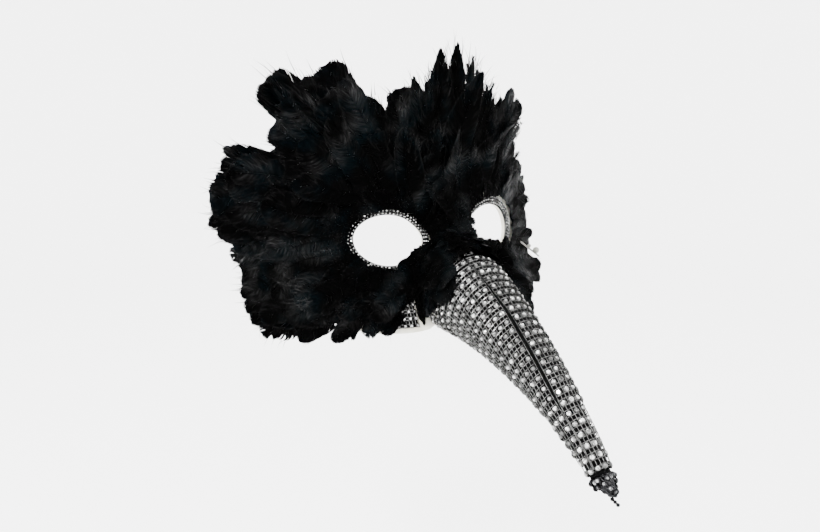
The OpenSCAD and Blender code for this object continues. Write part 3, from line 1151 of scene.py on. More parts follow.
    def skirt(self, side: int, rng: np.random.Generator) -> bpy.types.Object:
        """The net that runs on over the lower cheek.

        Args:
            side: RIGHT or LEFT.
            rng: Seeded generator.

        Returns:
            The piece.
        """
        net, face = StoneNet(radius=1.4, height=1.2, across=3.7, along=3.9), self.beak.face
        xs = np.arange(28.5, 58.5, net.across)
        zs = -49.0 + np.arange(0, 6) * net.along
        top = lambda x: -32 - 9 * (x - 27.5) / 30.5 - 1.5
        spots = np.array([(side * x, z) for x in xs for z in zs if z < top(x)])
        place = face.point(spots[:, 0], spots[:, 1], 0.5)
        stone = net.stone()
        parts = [copies(stone, net.frames(place, face.normal(spots[:, 0], spots[:, 1]), rng))]
        lines = []
        for x in np.arange(27.6, 58.4, net.across / 2):
            z = np.linspace(-50, top(x), 5)
            lines.append(face.point(side * x, z, 0.9))
        for z in zs:
            for lift in (-0.8, 0.8):
                x = np.array([v for v in np.arange(27.6, 58.4, 2.5) if z + lift < top(v)])
                if len(x) > 1:
                    lines.append(face.point(side * x, z + lift, 0.8))
        parts.append(wires("skirt_net", lines, net.wire))
        marks = [net.marks(stone[0], len(place), rng), net.wire_marks(len(parts[1][0]))]
        verts, faces = merge(parts)
        name = "right_cheek_stones" if side == RIGHT else "left_cheek_stones"
        obj = new_object(name, verts, faces, smooth=False, uv=np.concatenate(marks))
        obj.data.materials.append(self.stones)
        return obj

    def cheek_cloth(self, side: int) -> bpy.types.Object:
        """The black cloth under the stones on the lower cheek.

        Args:
            side: RIGHT or LEFT.

        Returns:
            The piece.
        """
        x = np.linspace(27.9, 58.1, 16)[None, :]
        top = -32.4 - 9 * (x - 27.5) / 30.5
        share = np.linspace(0, 1, 6)[:, None]
        z = -49.6 * (1 - share) + top * share
        front = self.beak.face.point(side * x, z, 0.46)
        back = self.beak.face.point(side * x, z, 0.14)
        verts, faces = skin(front, back, ring=False)
        hand = "right" if side == RIGHT else "left"
        return new_object(f"{hand}_cheek_cloth", verts, faces, smooth=True)

    def gathered_end(self, rng: np.random.Generator) -> bpy.types.Object:
        """The crumpled dark end of the net round the tip.

        Args:
            rng: Seeded generator.

        Returns:
            The piece.
        """
        t0, reach = self.beak.skin_end, 10.6
        control = np.array(self.beak.line, float)
        foot = np.array([0.0, bezier(control[:, 0], t0), bezier(control[:, 1], t0)])
        ahead = np.array([0.0, bezier(control[:, 0], t0 + 1e-3), bezier(control[:, 1], t0 + 1e-3)])
        out = unit(ahead - foot)
        side = np.array([1.0, 0.0, 0.0])
        up = np.cross(out, side)
        bm = bmesh.new()
        bmesh.ops.create_uvsphere(bm, u_segments=44, v_segments=26, radius=1.0)
        fold = rng.uniform(0, 6.28, 4)
        for v in bm.verts:
            x, y, z = v.co
            around = math.atan2(y, x)
            share = max(0.0, z)
            pleat = 1 + 0.2 * share * math.sin(7 * around + fold[0])
            pleat += 0.07 * math.sin(13 * around + 5 * z + fold[1])
            wide = 6.7 * pleat * (1 - 0.45 * share)
            lift = reach * share**1.6 + 0.5 * math.sin(3 * around + fold[2]) * share if z > 0 else 2.4 * z
            drift = 4.2 * share**2.2
            p = foot + wide * (x * side + y * up) + drift * up + (lift + 0.2) * out
            v.co = Vector(p)
        bmesh.ops.recalc_face_normals(bm, faces=bm.faces)
        parts = [arrays_of(bm)]
        marks = [np.tile([0.3, 0.5], (len(parts[0][0]), 1))]
        places, normals = [], []
        for h, ring, skip in ((0.9, 6.2, 0.05), (3.6, 5.3, 0.1), (6.2, 3.9, 0.15), (8.6, 2.3, 0.1)):
            count = max(3, int(2 * math.pi * ring / 2.9))
            for j in range(count):
                if rng.uniform() < skip:
                    continue
                a = 2 * math.pi * (j + 0.5 * rng.uniform()) / count
                n = math.cos(a) * side + math.sin(a) * up
                places.append(foot + ring * n + h * out + 4.2 * (h / 11.5) ** 2.2 * up)
                normals.append(unit(n + 0.3 * out))
        small = StoneNet(radius=1.55, height=1.3)
        stone = small.stone()
        parts.append(copies(stone, small.frames(np.array(places), np.array(normals), rng, 30.0)))
        marks.append(small.marks(stone[0], len(places), rng))
        verts, faces = merge(parts)
        return new_object("gathered_mesh_end", verts, faces, smooth=False, uv=np.concatenate(marks))

    def beads(self) -> bpy.types.Object:
        """Three loose links that hang off the tip.

        Returns:
            The piece.
        """
        low, high = (np.array(v) * 1000 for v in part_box("tip_beads"))
        bm = bmesh.new()
        for share, size in ((0.16, 1.1), (0.5, 1.0), (0.84, 1.05)):
            place = [
                low[0] + 1.1 + share * 1.0,
                high[1] - 1.0 - share * (high[1] - low[1] - 2.0),
                high[2] - 1.1 - share * (high[2] - low[2] - 2.2),
            ]
            bmesh.ops.create_icosphere(bm, subdivisions=2, radius=size, matrix=Matrix.Translation(place))
        verts, faces = arrays_of(bm)
        return new_object("loose_links", verts, faces, smooth=False)


@dataclass(frozen=True)
class EyeStrips:
    """A strip of stones round each eye hole."""

    face: FaceForm
    width: float = 5.5
    overhang: float = 0.6
    nose_saving: float = 1.1

    def strip(self, side: int, rng: np.random.Generator) -> bpy.types.Object:
        """One strip: three rings of small stones on a net.

        Args:
            side: RIGHT or LEFT.
            rng: Seeded generator.

        Returns:
            The piece.
        """
        small = StoneNet(radius=0.92, height=1.15, wire=0.17)
        places, normals, lines = [], [], []
        fine = np.linspace(0, 360, 361)
        for share in (0.17, 0.5, 0.83):
            width = self.width - self.nose_saving * np.maximum(0, np.cos(np.radians(fine - 184))) ** 2
            r = self.face.eye_radius(fine) - self.overhang + share * width
            x = side * (self.face.eye_x + r * np.cos(np.radians(fine)))
            z = r * np.sin(np.radians(fine))
            path = self.face.point(x, z, 0.0)
            run = np.concatenate([[0], np.cumsum(np.linalg.norm(np.diff(path, axis=0), axis=1))])
            count = int(run[-1] / 2.25)
            at = np.interp((np.arange(count) + 0.5 * (share == 0.5)) * run[-1] / count, run, fine)
            px, pz = np.interp(at, fine, x), np.interp(at, fine, z)
            places.append(self.face.point(px, pz, 0.75))
            normals.append(self.face.normal(px, pz))
        for share in (0.02, 0.27, 0.52, 0.76, 0.98):
            r = self.face.eye_radius(fine) - self.overhang + share * self.width * 0.97
            x = side * (self.face.eye_x + r * np.cos(np.radians(fine)))
            lines.append(self.face.point(x, r * np.sin(np.radians(fine)), 1.0)[::3])
        for a in np.arange(0, 360, 4.0):
            r = self.face.eye_radius(a) - self.overhang + np.linspace(0, 0.97, 4) * self.width
            x = side * (self.face.eye_x + r * np.cos(math.radians(a)))
            lines.append(self.face.point(x, r * math.sin(math.radians(a)), 0.95))
        stone = small.stone()
        place = np.concatenate(places)
        parts = [
            copies(stone, small.frames(place, np.concatenate(normals), rng, 14.0)),
            wires("strip_net", lines, small.wire),
        ]
        marks = [small.marks(stone[0], len(place), rng), small.wire_marks(len(parts[1][0]))]
        verts, faces = merge(parts)
        name = "right_eye_stones" if side == RIGHT else "left_eye_stones"
        return new_object(name, verts, faces, smooth=False, uv=np.concatenate(marks))

    def ribbon(self, side: int) -> bpy.types.Object:
        """The black ribbon under one strip, raised along its middle.

        Args:
            side: RIGHT or LEFT.

        Returns:
            The piece.
        """
        fine = np.arange(0, 360, 4.0)
        front, back = [], []
        for share in np.linspace(0, 1, 5):
            r = self.face.eye_radius(fine) - 0.5 + share * (self.width - 1.1)
            x = side * (self.face.eye_x + r * np.cos(np.radians(fine)))
            z = r * np.sin(np.radians(fine))
            crown = 0.75 - 0.3 * (2 * share - 1) ** 2
            front.append(self.face.point(x, z, crown))
            back.append(self.face.point(x, z, 0.16))
        verts, faces = skin(np.array(front), np.array(back), ring=True)
        name = "right_eye_ribbon" if side == RIGHT else "left_eye_ribbon"
        return new_object(name, verts, faces, smooth=True)


# ---- feathers --------------------------------------------------------------
class Tip(Enum):
    """How a feather ends."""

    ROUND = "round"
    SQUARE = "square"
    POINTED = "pointed"
    TORN = "torn"
    WISPY = "wispy"


VANE_PROFILES: Dict[Tip, Tuple[Tuple[float, float], ...]] = {
    Tip.ROUND: ((0, 0.5), (0.1, 0.76), (0.3, 0.94), (0.55, 1.0), (0.78, 0.98), (1, 0.92)),
    Tip.SQUARE: ((0, 0.5), (0.1, 0.68), (0.3, 0.84), (0.6, 0.94), (0.85, 1.0), (1, 1.0)),
    Tip.POINTED: ((0, 0.5), (0.08, 0.75), (0.25, 1.0), (0.45, 0.95), (0.7, 0.68), (0.88, 0.38), (1, 0.06)),
    Tip.TORN: ((0, 0.5), (0.1, 0.75), (0.3, 0.95), (0.55, 0.9), (0.8, 0.98), (1, 0.85)),
    Tip.WISPY: ((0, 0.45), (0.1, 0.7), (0.3, 0.9), (0.55, 0.8), (0.75, 0.62), (0.9, 0.45), (1, 0.3)),
}
# Where each outline starts to close to its end
CAP_START: Dict[Tip, float] = {
    Tip.ROUND: 0.74,
    Tip.SQUARE: 0.9,
    Tip.POINTED: 0.97,
    Tip.TORN: 0.84,
    Tip.WISPY: 0.9,
}
# Feathers are bent over a little more than their length, for barbs that pass the shaft's end
SPINE_END = 1.18
SPINE_POINTS = 40


@dataclass(frozen=True)
class FeatherDesign:
    """One feather in shares of its length and half width, before it is bent and placed."""

    tip: Tip
    barbs: int = 38
    strands: int = 9
    slant_foot: float = 62.0
    slant_tip: float = 24.0
    bare_foot: float = 0.04
    aspect: float = 3.6

    def vane(self, side: int, rng: np.random.Generator) -> Tuple[Array, Faces, Array]:
        """The barbs on one side of the shaft.

        Args:
            side: 1 or -1.
            rng: Seeded generator.

        Returns:
            Vertices, faces and pattern coordinates.
        """
        rows = np.array([0.0, 0.36, 0.7, 0.9, 1.0])
        bm = bmesh.new()
        columns = 2 * self.barbs
        bmesh.ops.create_grid(bm, x_segments=columns - 1, y_segments=len(rows) - 1, size=0.5)
        bm.verts.ensure_lookup_table()
        col = np.round((np.array([v.co.x for v in bm.verts]) + 0.5) * (columns - 1)).astype(int)
        row = np.round((np.array([v.co.y for v in bm.verts]) + 0.5) * (len(rows) - 1)).astype(int)
        wisp = self.tip is Tip.WISPY
        deep = np.full(self.barbs, len(rows) - 2 if not wisp else 1)
        for k in range(self.barbs):
            draw = rng.uniform()
            if draw < (0.05 if self.tip is not Tip.TORN else 0.2):
                deep[k] = 1
            elif draw < (0.16 if self.tip is not Tip.TORN else 0.45):
                deep[k] = 2
        doomed = []
        for f in bm.faces:
            c = min(col[v.index] for v in f.verts)
            r = min(row[v.index] for v in f.verts)
            if c % 2 == 1 and r >= deep[c // 2]:
                doomed.append(f)
        bmesh.ops.delete(bm, geom=doomed, context="FACES_ONLY")
        bm.verts.index_update()
        faces = [tuple(v.index for v in f.verts) for f in bm.faces]
        bm.free()
        clump = np.zeros(self.barbs)
        k = 0
        while k < self.barbs:
            size = int(rng.integers(2, 7))
            clump[k : k + size] = rng.normal(0, 0.1 if not wisp else 0.22)
            k += size
        length = 1 + rng.normal(0, 0.02, self.barbs) + (rng.normal(0, 0.12, self.barbs) if wisp else 0)
        if self.tip is Tip.TORN:
            length *= np.where(rng.uniform(size=self.barbs) < 0.12, rng.uniform(0.45, 0.8, self.barbs), 1)
        barb = col // 2
        edge = np.where(col % 2 == 0, -1, 1)
        depth = rows[row]
        pitch = (0.985 - self.bare_foot) / self.barbs
        fill = np.interp(depth, [0, 0.7, 0.9, 1.0], [1.0, 0.98, 0.88, 0.35])
        if wisp:
            fill = np.interp(depth, [0, 0.36, 0.7, 1.0], [1.0, 0.7, 0.42, 0.08])
        u = self.bare_foot + (barb + 0.5) * pitch + 0.5 * edge * pitch * fill
        share = np.clip((u - self.bare_foot) / (1 - self.bare_foot), 0, 1)
        profile = np.array(VANE_PROFILES[self.tip])
        slant = np.radians(self.slant_foot + (self.slant_tip - self.slant_foot) * share**1.3)
        slant = np.maximum(slant * (1 + clump[barb]), 0.2)
        advance = np.interp(share, profile[:, 0], profile[:, 1]) / self.aspect / np.tan(slant)
        left = 1 - u + 0.004
        end = 1 - left * np.exp(-advance / left)
        cap = CAP_START[self.tip]
        close = np.sqrt(np.clip(1 - (np.maximum(0, end - cap) / (1.005 - cap)) ** 2, 0, 1))
        width = np.interp(end, profile[:, 0], profile[:, 1]) * close * length[barb]
        end = u + (end - u) * (1 + 0.5 * (length[barb] - 1))
        x = u + (end - u) * (depth + 0.25 * depth**2) / 1.25
        y = side * width * np.sin(depth * math.pi / 2) ** 0.92
        z = 0.012 * edge * depth
        uv = np.stack([(barb + 0.5 * (edge + 1)) * 1.0, depth], axis=-1)
        verts = np.stack([x, y, z], axis=-1)
        loose, loose_faces = self.loose_strands(side, rng)
        faces += [tuple(v + len(verts) for v in f) for f in loose_faces]
        uv = np.concatenate([uv, np.tile([0.25, 1.0], (len(loose), 1))])
        return np.concatenate([verts, loose]), faces, uv

    def loose_strands(self, side: int, rng: np.random.Generator) -> Tuple[Array, Faces]:
        """Single barbs that have come loose near the end, as narrow blades.

        Args:
            side: 1 or -1.
            rng: Seeded generator.

        Returns:
            Vertices and faces.
        """
        bm = bmesh.new()
        profile = np.array(VANE_PROFILES[self.tip])
        for _ in range(self.strands):
            made = bmesh.ops.create_grid(bm, x_segments=4, y_segments=1, size=0.5)["verts"]
            start = rng.uniform(0.55, 0.97)
            wide = float(np.interp(start, profile[:, 0], profile[:, 1]))
            turn, bow = math.radians(rng.uniform(4, 34)), rng.uniform(-0.4, 0.5)
            reach, out = rng.uniform(0.09, 0.2), rng.uniform(0.25, 0.95) * wide
            for v in made:
                t, edge = v.co.x + 0.5, v.co.y
                along = t * reach
                x = start + along * math.cos(turn)
                y = out + self.aspect * (along * math.sin(turn) + bow * along * t) + edge * 0.045 * (1.05 - t)
                v.co = (x, side * y, 0.03 + 0.12 * t * bow)
        return arrays_of(bm)

    def shaft(self) -> Tuple[Array, Faces, Array]:
        """The shaft: a tapered rod along x.

        Returns:
            Vertices, faces and pattern coordinates.
        """
        bm = bmesh.new()
        turn = Matrix.Translation((0.485, 0, 0)) @ Matrix.Rotation(math.pi / 2, 4, "Y")
        bmesh.ops.create_cone(
            bm, cap_ends=True, segments=5, radius1=1.0, radius2=0.3, depth=0.97, matrix=turn
        )
        for i in range(1, 9):
            geom = list(bm.verts) + list(bm.edges) + list(bm.faces)
            bmesh.ops.bisect_plane(bm, geom=geom, plane_co=(i * 0.97 / 9, 0, 0), plane_no=(1, 0, 0))
        verts, faces = arrays_of(bm)
        return verts, faces, np.zeros((len(verts), 2))


@dataclass(frozen=True)
class Bend:
    """How a feather bends: angles in degrees over its length."""

    lift: float = 8.0
    droop: float = 0.0
    curl: float = 0.0
    sweep: float = 0.0
    roll: float = 0.0
    twist: float = 0.0
    cup: float = 0.12


class FeatherKit:
    """Feather designs, made once and bent for every place."""

    def __init__(self, seed: int) -> None:
        """Make the designs.

        Args:
            seed: Seed for the small differences between designs.
        """
        plan = [
            (Tip.ROUND, 5),
            (Tip.SQUARE, 4),
            (Tip.POINTED, 4),
            (Tip.TORN, 4),
            (Tip.WISPY, 4),
        ]
        self.forms: Dict[Tip, List[Tuple[Array, Faces, Array, int]]] = {}
        for tip, count in plan:
            for i in range(count):
                design = FeatherDesign(tip)
                rng = np.random.default_rng([seed, i, list(Tip).index(tip)])
                right, left, shaft = design.vane(1, rng), design.vane(-1, rng), design.shaft()
                verts = np.concatenate([right[0], left[0], shaft[0]])
                base = len(right[0])
                faces = list(right[1]) + [tuple(v + base for v in reversed(f)) for f in left[1]]
                base += len(left[0])
                faces += [tuple(v + base for v in f) for f in shaft[1]]
                uv = np.concatenate([right[2], left[2] + np.array([50.0, 0]), shaft[2]])
                self.forms.setdefault(tip, []).append((verts, faces, uv, base))

    def place(
        self,
        tip: Tip,
        which: int,
        foot: Array,
        out: Array,
        up: Array,
        length: float,
        width: float,
        bend: Bend,
        shaft_mm: float = 0.34,
    ) -> Tuple[Array, Faces, Array]:
        """Bend one feather and stand it on the mask.

        Args:
            tip: Kind of feather.
            which: Number of the design.
            foot: Where it is glued.
            out: Direction it runs in.
            up: Direction away from the mask.
            length: Length in millimetres.
            width: Full width in millimetres.
            bend: How it bends.
            shaft_mm: Shaft radius at its foot.

        Returns:
            Vertices, faces and pattern coordinates.
        """
        form = self.forms[tip][which % len(self.forms[tip])]
        verts, faces, uv, shaft_from = form
        s = np.linspace(0, SPINE_END, SPINE_POINTS)
        pitch = np.radians(bend.lift + bend.droop * s + bend.curl * s**3)
        yaw = np.radians(bend.sweep * s)
        along = np.stack([np.cos(pitch) * np.cos(yaw), np.cos(pitch) * np.sin(yaw), np.sin(pitch)], axis=-1)
        steps = (along[1:] + along[:-1]) / 2 * (s[1] - s[0]) * length
        spine = np.concatenate([[[0, 0, 0]], np.cumsum(steps, axis=0)])
        flat = np.stack([-np.sin(yaw), np.cos(yaw), np.zeros_like(yaw)], axis=-1)
        top = np.cross(along, flat)
        roll = np.radians(bend.roll + bend.twist * s)[:, None]
        side = flat * np.cos(roll) + top * np.sin(roll)
        high = np.cross(along, side)
        x = np.clip(verts[:, 0], 0, SPINE_END)
        at = lambda table: np.stack([np.interp(x, s, table[:, i]) for i in range(3)], axis=-1)
        y, z = verts[:, 1] * width / 2, verts[:, 2] * width / 2
        vane = np.arange(len(verts)) < shaft_from
        z = np.where(vane, z - bend.cup * np.abs(y) ** 1.5 / math.sqrt(width / 2 + 1e-6), z)
        y = np.where(vane, y, verts[:, 1] * shaft_mm)
        z = np.where(vane, z, verts[:, 2] * shaft_mm)
        local = at(spine) + at(side) * y[:, None] + at(high) * z[:, None]
        across = np.cross(up, out)
        basis = np.stack([out, across, up])
        return foot + local @ basis, faces, uv


class Zone(Enum):
    """Groups of feathers, by the CAD node that each one stands for."""

    CREST = "crest"
    CROWN = "crown"
    TEMPLE = "temple"
    BROW = "brow"
    CHEEK = "cheek"
    JAW = "jaw"


@dataclass
class Plumage:
    """All the feathers of the mask: where they stand, how long they are and how they bend."""

    face: FaceForm
    beak: BeakForm
    kit: FeatherKit
    vane: bpy.types.Material
    spacing: float = 7.6
    seed: int = 11
    tip_allowance: float = 4.0
    reach: Tuple[Tuple[float, float], ...] = (
        (-62, 58), (-51, 65), (-45, 71), (-42, 78), (-39, 79), (-36, 77), (-33, 73), (-30, 70), (-27, 70),
        (-24, 77), (-21, 87), (-18, 97), (-9, 98), (-6, 94), (0, 94), (3, 95), (6, 100), (15, 106),
        (21, 107), (27, 105), (33, 98), (39, 95), (42, 97), (45, 107), (51, 113), (57, 122), (60, 114),
        (63, 106), (69, 106), (74, 117), (77, 120), (81, 129), (84, 136), (87, 130), (91, 121), (97, 112),
        (105, 107), (111, 98), (114, 91), (116, 103), (118, 124), (122, 133), (126, 137), (129, 152),
        (133, 156), (136, 132), (139, 122), (141, 114), (145, 119), (147, 144), (153, 146), (159, 144),
        (165, 141), (168, 128), (177, 122), (185, 122), (192, 126), (198, 117), (201, 107), (204, 99),
        (207, 84), (210, 70), (213, 64), (219, 56), (225, 50), (231, 46), (243, 42),
    )

    def __post_init__(self) -> None:
        """Start the generator and an empty list for every group."""
        self.rng = np.random.default_rng(self.seed)
        self.groups: Dict[Tuple[Zone, int], List[Tuple[Array, Faces, Array]]] = {}

    def reach_at(self, angle: float) -> float:
        """Reach of the longest feathers from the hub at an angle."""
        table = np.array(self.reach)
        return self.tip_allowance + float(np.interp(angle, table[:, 0], table[:, 1]))

    def polar(self, x: float, z: float) -> Tuple[float, float]:
        """Angle in degrees, -90 to 270, and distance of a point from the hub.

        Args:
            x: Across, millimetres.
            z: Up, millimetres.

        Returns:
            The angle and the distance.
        """
        dx, dz = x - self.face.hub[0], z - self.face.hub[1]
        angle = math.degrees(math.atan2(dz, dx))
        return (angle + 360 if angle < -90 else angle), math.hypot(dx, dz)

    def flow(self, x: float, z: float) -> Array:
        """Direction of a feather in x and z: away from the nose, and round the eyes.

        Args:
            x: Across, millimetres.
            z: Up, millimetres.

        Returns:
            The direction.
        """
        hub = np.array([x - self.face.hub[0], z - self.face.hub[1]])
        side = 1 if x >= 0 else -1
        eye = np.array([x - side * self.face.eye_x, z])
        near = math.exp(-max(0.0, self.face.eye_gap(x, z)) / 13.0)
        d = unit(hub) * (1 - 0.82 * near) + unit(eye) * 0.82 * near
        low = float(np.clip((-22.0 - z) / 22.0, 0, 1)) * float(np.clip((-12.0 - x) / 20.0, 0, 1))
        return unit(unit(d) + np.array([-1.1 * low, 0.35 * low]))

    def beak_gap(self, x: float, z: float) -> float:
        """How far a point is outside the egg of the beak's root.

        Args:
            x: Across, millimetres.
            z: Up, millimetres.

        Returns:
            The distance, negative inside.
        """
        dx, dz = x - self.beak.root_centre[0], z - self.beak.root_centre[1]
        angle = math.degrees(math.atan2(abs(dx), dz))
        a = math.radians(angle)
        wide, high = float(self.beak.root_width(angle)), self.beak.root_half_height
        return math.hypot(dx, dz) - math.hypot(wide * math.sin(a), high * math.cos(a))

    def clear(self, x: float, z: float, d: Array, length: float) -> bool:
        """True if a feather's middle line stays out of the eye holes.

        Args:
            x: Across, millimetres.
            z: Up, millimetres.
            d: Direction in x and z.
            length: Length of the feather.

        Returns:
            True if it is clear.
        """
        for s in (0.3, 0.6, 0.85, 1.0):
            if self.face.eye_gap(x + d[0] * s * length, z + d[1] * s * length) < 0.5:
                return False
        return True

    def zone(self, angle: float, share: float) -> Tuple[Zone, int]:
        """The group of a feather from its angle and its share of the way to the rim.

        Args:
            angle: Angle about the hub.
            share: Share of the way to the rim.

        Returns:
            The group and the side.
        """
        side = RIGHT if angle > 90 else LEFT
        folded = 180 - angle if angle > 90 else angle
        if folded < -10:
            return (Zone.CHEEK if share > 0.86 else Zone.JAW), side
        if share < 0.66:
            return Zone.BROW, side
        if folded < 38:
            return Zone.TEMPLE, side
        return (Zone.CREST if share > 0.86 else Zone.CROWN), side

    def add(
        self, x: float, z: float, d: Array, length: float, width: float, tip: Tip, bend: Bend, height: float
    ) -> None:
        """Stand one feather on the mask and put it in its group.

        Args:
            x: Across, where it is glued.
            z: Up, where it is glued.
            d: Direction in x and z.
            length: Length.
            width: Full width.
            tip: Kind of feather.
            bend: How it bends.
            height: Height of its foot over the shell.
        """
        n = self.face.normal(x, z)
        foot = self.face.point(x, z, height)
        ahead = self.face.point(x + 0.1 * d[0], z + 0.1 * d[1], height) - foot
        out = unit(ahead - float(ahead @ n) * n)
        angle, distance = self.polar(x, z)
        key = self.zone(angle, distance / self.face.rim(angle))
        which = int(self.rng.integers(0, 8))
        made = self.kit.place(tip, which, foot, out, n, length, width, bend)
        self.groups.setdefault(key, []).append(made)

    def pick(self, angle: float, share: float) -> Tip:
        """Choose a kind of feather for a place.

        Args:
            angle: Angle about the hub.
            share: Share of the way to the rim.

        Returns:
            The kind.
        """
        draw = self.rng.uniform()
        if 38 < angle < 108 and share > 0.5:
            return Tip.WISPY if draw < 0.6 else (Tip.POINTED if draw < 0.85 else Tip.SQUARE)
        if share > 0.8:
            return Tip.ROUND if draw < 0.5 else (Tip.SQUARE if draw < 0.85 else Tip.TORN)
        return Tip.ROUND if draw < 0.6 else (Tip.POINTED if draw < 0.8 else Tip.TORN)

    def sweep_at(self, angle: float) -> float:
        """Mean sideways bend at an angle: feathers at the wearer's right droop outwards."""
        return float(np.interp(angle, [-60, 90, 140, 150, 175, 190, 215, 240], [0, 0, 0, 18, 32, 22, 8, 0]))

    def cover(self) -> None:
        """Cover the face on a staggered grid, outermost feathers first."""
        rng = self.rng
        spots = []
        for row, z in enumerate(np.arange(-49, 46, self.spacing * 0.87)):
            for x in np.arange(-86, 87, self.spacing) + (row % 2) * self.spacing / 2:
                px, pz = x + rng.normal(0, 1.1), z + rng.normal(0, 1.1)
                angle, distance = self.polar(px, pz)
                if not -62 < angle < 242:
                    continue
                share = distance / self.face.rim(angle)
                if share > 0.985 or self.face.eye_gap(px, pz) < 4.0 or self.beak_gap(px, pz) < 0.8:
                    continue
                if -60 < px < -22 and pz < -35:
                    continue
                spots.append((px, pz, angle, distance, share))
        spots.sort(key=lambda s: -s[4])
        for x, z, angle, distance, share in spots:
            d = self.flow(x, z)
            rim = self.face.rim(angle)
            room = self.reach_at(angle) - distance
            past_rim = max(0.0, self.reach_at(angle) - rim)
            length = 24 * (1 - share) + 11 + share**2 * past_rim * rng.uniform(0.75, 1.0)
            length = float(np.clip(length, 18, 74))
            length = min(length, max(room, 12.0 if angle < 205 else 9.0))
            while length > 12 and not self.clear(x, z, d, length):
                length *= 0.85
            if length < 9:
                continue
            width = float(np.clip(length * rng.uniform(0.38, 0.58), 10.5, 23))
            bend = Bend(
                lift=8 + 9 * (1 - share) + rng.normal(0, 4),
                droop=-14 + 6 * share + rng.normal(0, 8),
                curl=rng.normal(-6, 12),
                sweep=self.sweep_at(angle) * share + rng.normal(0, 15),
                roll=rng.normal(0, 13),
                twist=rng.normal(0, 20),
                cup=rng.uniform(0.05, 0.22),
            )
            height = 0.9 + 3.2 * (1 - share) + rng.uniform(0, 0.6)
            self.add(x, z, d, length, width, self.pick(angle, share), bend, height)

    def rim(self) -> None:
        """Long feathers along the rim, which make the ragged outline."""
        rng = self.rng
        angle = -58.0
        while angle < 238:
            rim = self.face.rim(angle)
            reach = self.reach_at(angle)
            rho = min(rng.uniform(0.88, 0.985) * rim, reach - 22)
            x = self.face.hub[0] + rho * math.cos(math.radians(angle))
            z = self.face.hub[1] + rho * math.sin(math.radians(angle))
            lean = angle + rng.normal(0, 2.0)
            d = np.array([math.cos(math.radians(lean)), math.sin(math.radians(lean))])
            length = (reach - rho) * rng.uniform(0.9, 1.0)
            width = float(np.clip(length * rng.uniform(0.3, 0.42), 10, 22))
            bend = Bend(
                lift=5 + rng.normal(0, 1.5),
                droop=rng.normal(-4, 3),
                curl=rng.normal(0, 4),
                sweep=self.sweep_at(angle) + rng.normal(0, 4),
                roll=rng.normal(0, 10),
                twist=rng.normal(0, 12),
            )
            open_cheek = 218 < angle < 243
            if self.face.eye_gap(x, z) > 1.0 and self.clear(x, z, d, length) and not open_cheek:
                self.add(x, z, d, length, width, self.pick(angle, 0.95), bend, 0.6 + rng.uniform(0, 1.0))
            angle += math.degrees(5.0 / rim)

    def eye_ring(self, side: int) -> None:
        """Short feathers round an eye hole, glued over its strip of stones.

        Args:
            side: RIGHT or LEFT.
        """
        rng = self.rng
        gaps = {
            RIGHT: (
                [0, 60, 120, 155, 172, 190, 203, 215, 240, 262, 300, 330, 360],
                [1.6, 1.8, 2.0, 2.2, 2.4, 2.0, 1.2, 0.9, 0.6, 0.5, 0.5, 0.8, 1.6],
            ),
            LEFT: (
                [0, 50, 100, 140, 165, 200, 230, 270, 310, 360],
                [5.4, 4.6, 3.0, 1.8, 0.6, -0.6, -2.2, -2.4, 2.0, 5.4],
            ),
        }
        for gap_more, long in ((3.2, 1.0), (0.0, 0.85)):
            angle = rng.uniform(0, 8)
            while angle < 360:
                gap = float(np.interp(angle, *gaps[side])) + gap_more + rng.uniform(-0.3, 0.5)
                r = float(self.face.eye_radius(angle)) + gap
                a = math.radians(angle)
                x, z = side * (self.face.eye_x + r * math.cos(a)), r * math.sin(a)
                lean = a + math.radians(rng.normal(0, 12))
                d = np.array([side * math.cos(lean), math.sin(lean)])
                polar, distance = self.polar(x, z)
                length = rng.uniform(15, 22) * long
                length = min(length, max(9.0, self.reach_at(polar) - distance))
                if self.beak_gap(x, z) > -1 and abs(x) > 1.5:
                    while length > 7 and not self.clear(x, z, d, length):
                        length *= 0.8
                    tip = Tip.ROUND if rng.uniform() < 0.55 else Tip.TORN
                    bend = Bend(
                        lift=9 + rng.normal(0, 3),
                        droop=-14 + rng.normal(0, 4),
                        sweep=rng.normal(0, 16),
                        roll=rng.normal(0, 8),
                        twist=rng.normal(0, 12),
                        cup=0.1,
                    )
                    width = rng.uniform(9, 12.5)
                    self.add(x, z, d, length, width, tip, bend, 2.9 + rng.uniform(0, 0.6) - 0.25 * gap_more)
                angle += math.degrees(3.5 / r)

    def under_tufts(self, side: int, first: float, last: float, reach: float, peak: float) -> None:
        """Soft tufts that stand up from the cheek over the lower edge of an eye hole.

        Args:
            side: RIGHT or LEFT.
            first: Angle round the eye where they start; 270 is straight down.
            last: Angle where they end.
            reach: Length at the ends of the row.
            peak: Extra length in its middle.
        """
        rng = self.rng
        middle, half = (first + last) / 2, (last - first) / 2
        for angle in np.arange(first, last, 5.0):
            a = math.radians(angle + rng.normal(0, 2))
            r = float(self.face.eye_radius(math.degrees(a))) + rng.uniform(1.5, 3.2)
            x, z = side * (self.face.eye_x + r * math.cos(a)), r * math.sin(a)
            if self.beak_gap(x, z) < -2:
                continue
            lean = math.radians(rng.normal(0, 16))
            d = unit(np.array([math.sin(lean) - 0.25 * side, math.cos(lean)]))
            length = (reach + peak * (1 - abs(angle - middle) / half)) * rng.uniform(0.9, 1.1)
            tip = Tip.TORN if rng.uniform() < 0.5 else Tip.ROUND
            bend = Bend(lift=14 + rng.normal(0, 4), droop=-12, sweep=rng.normal(0, 14), cup=0.1)
            self.add(x, z, d, length, rng.uniform(6.5, 9), tip, bend, 2.6)

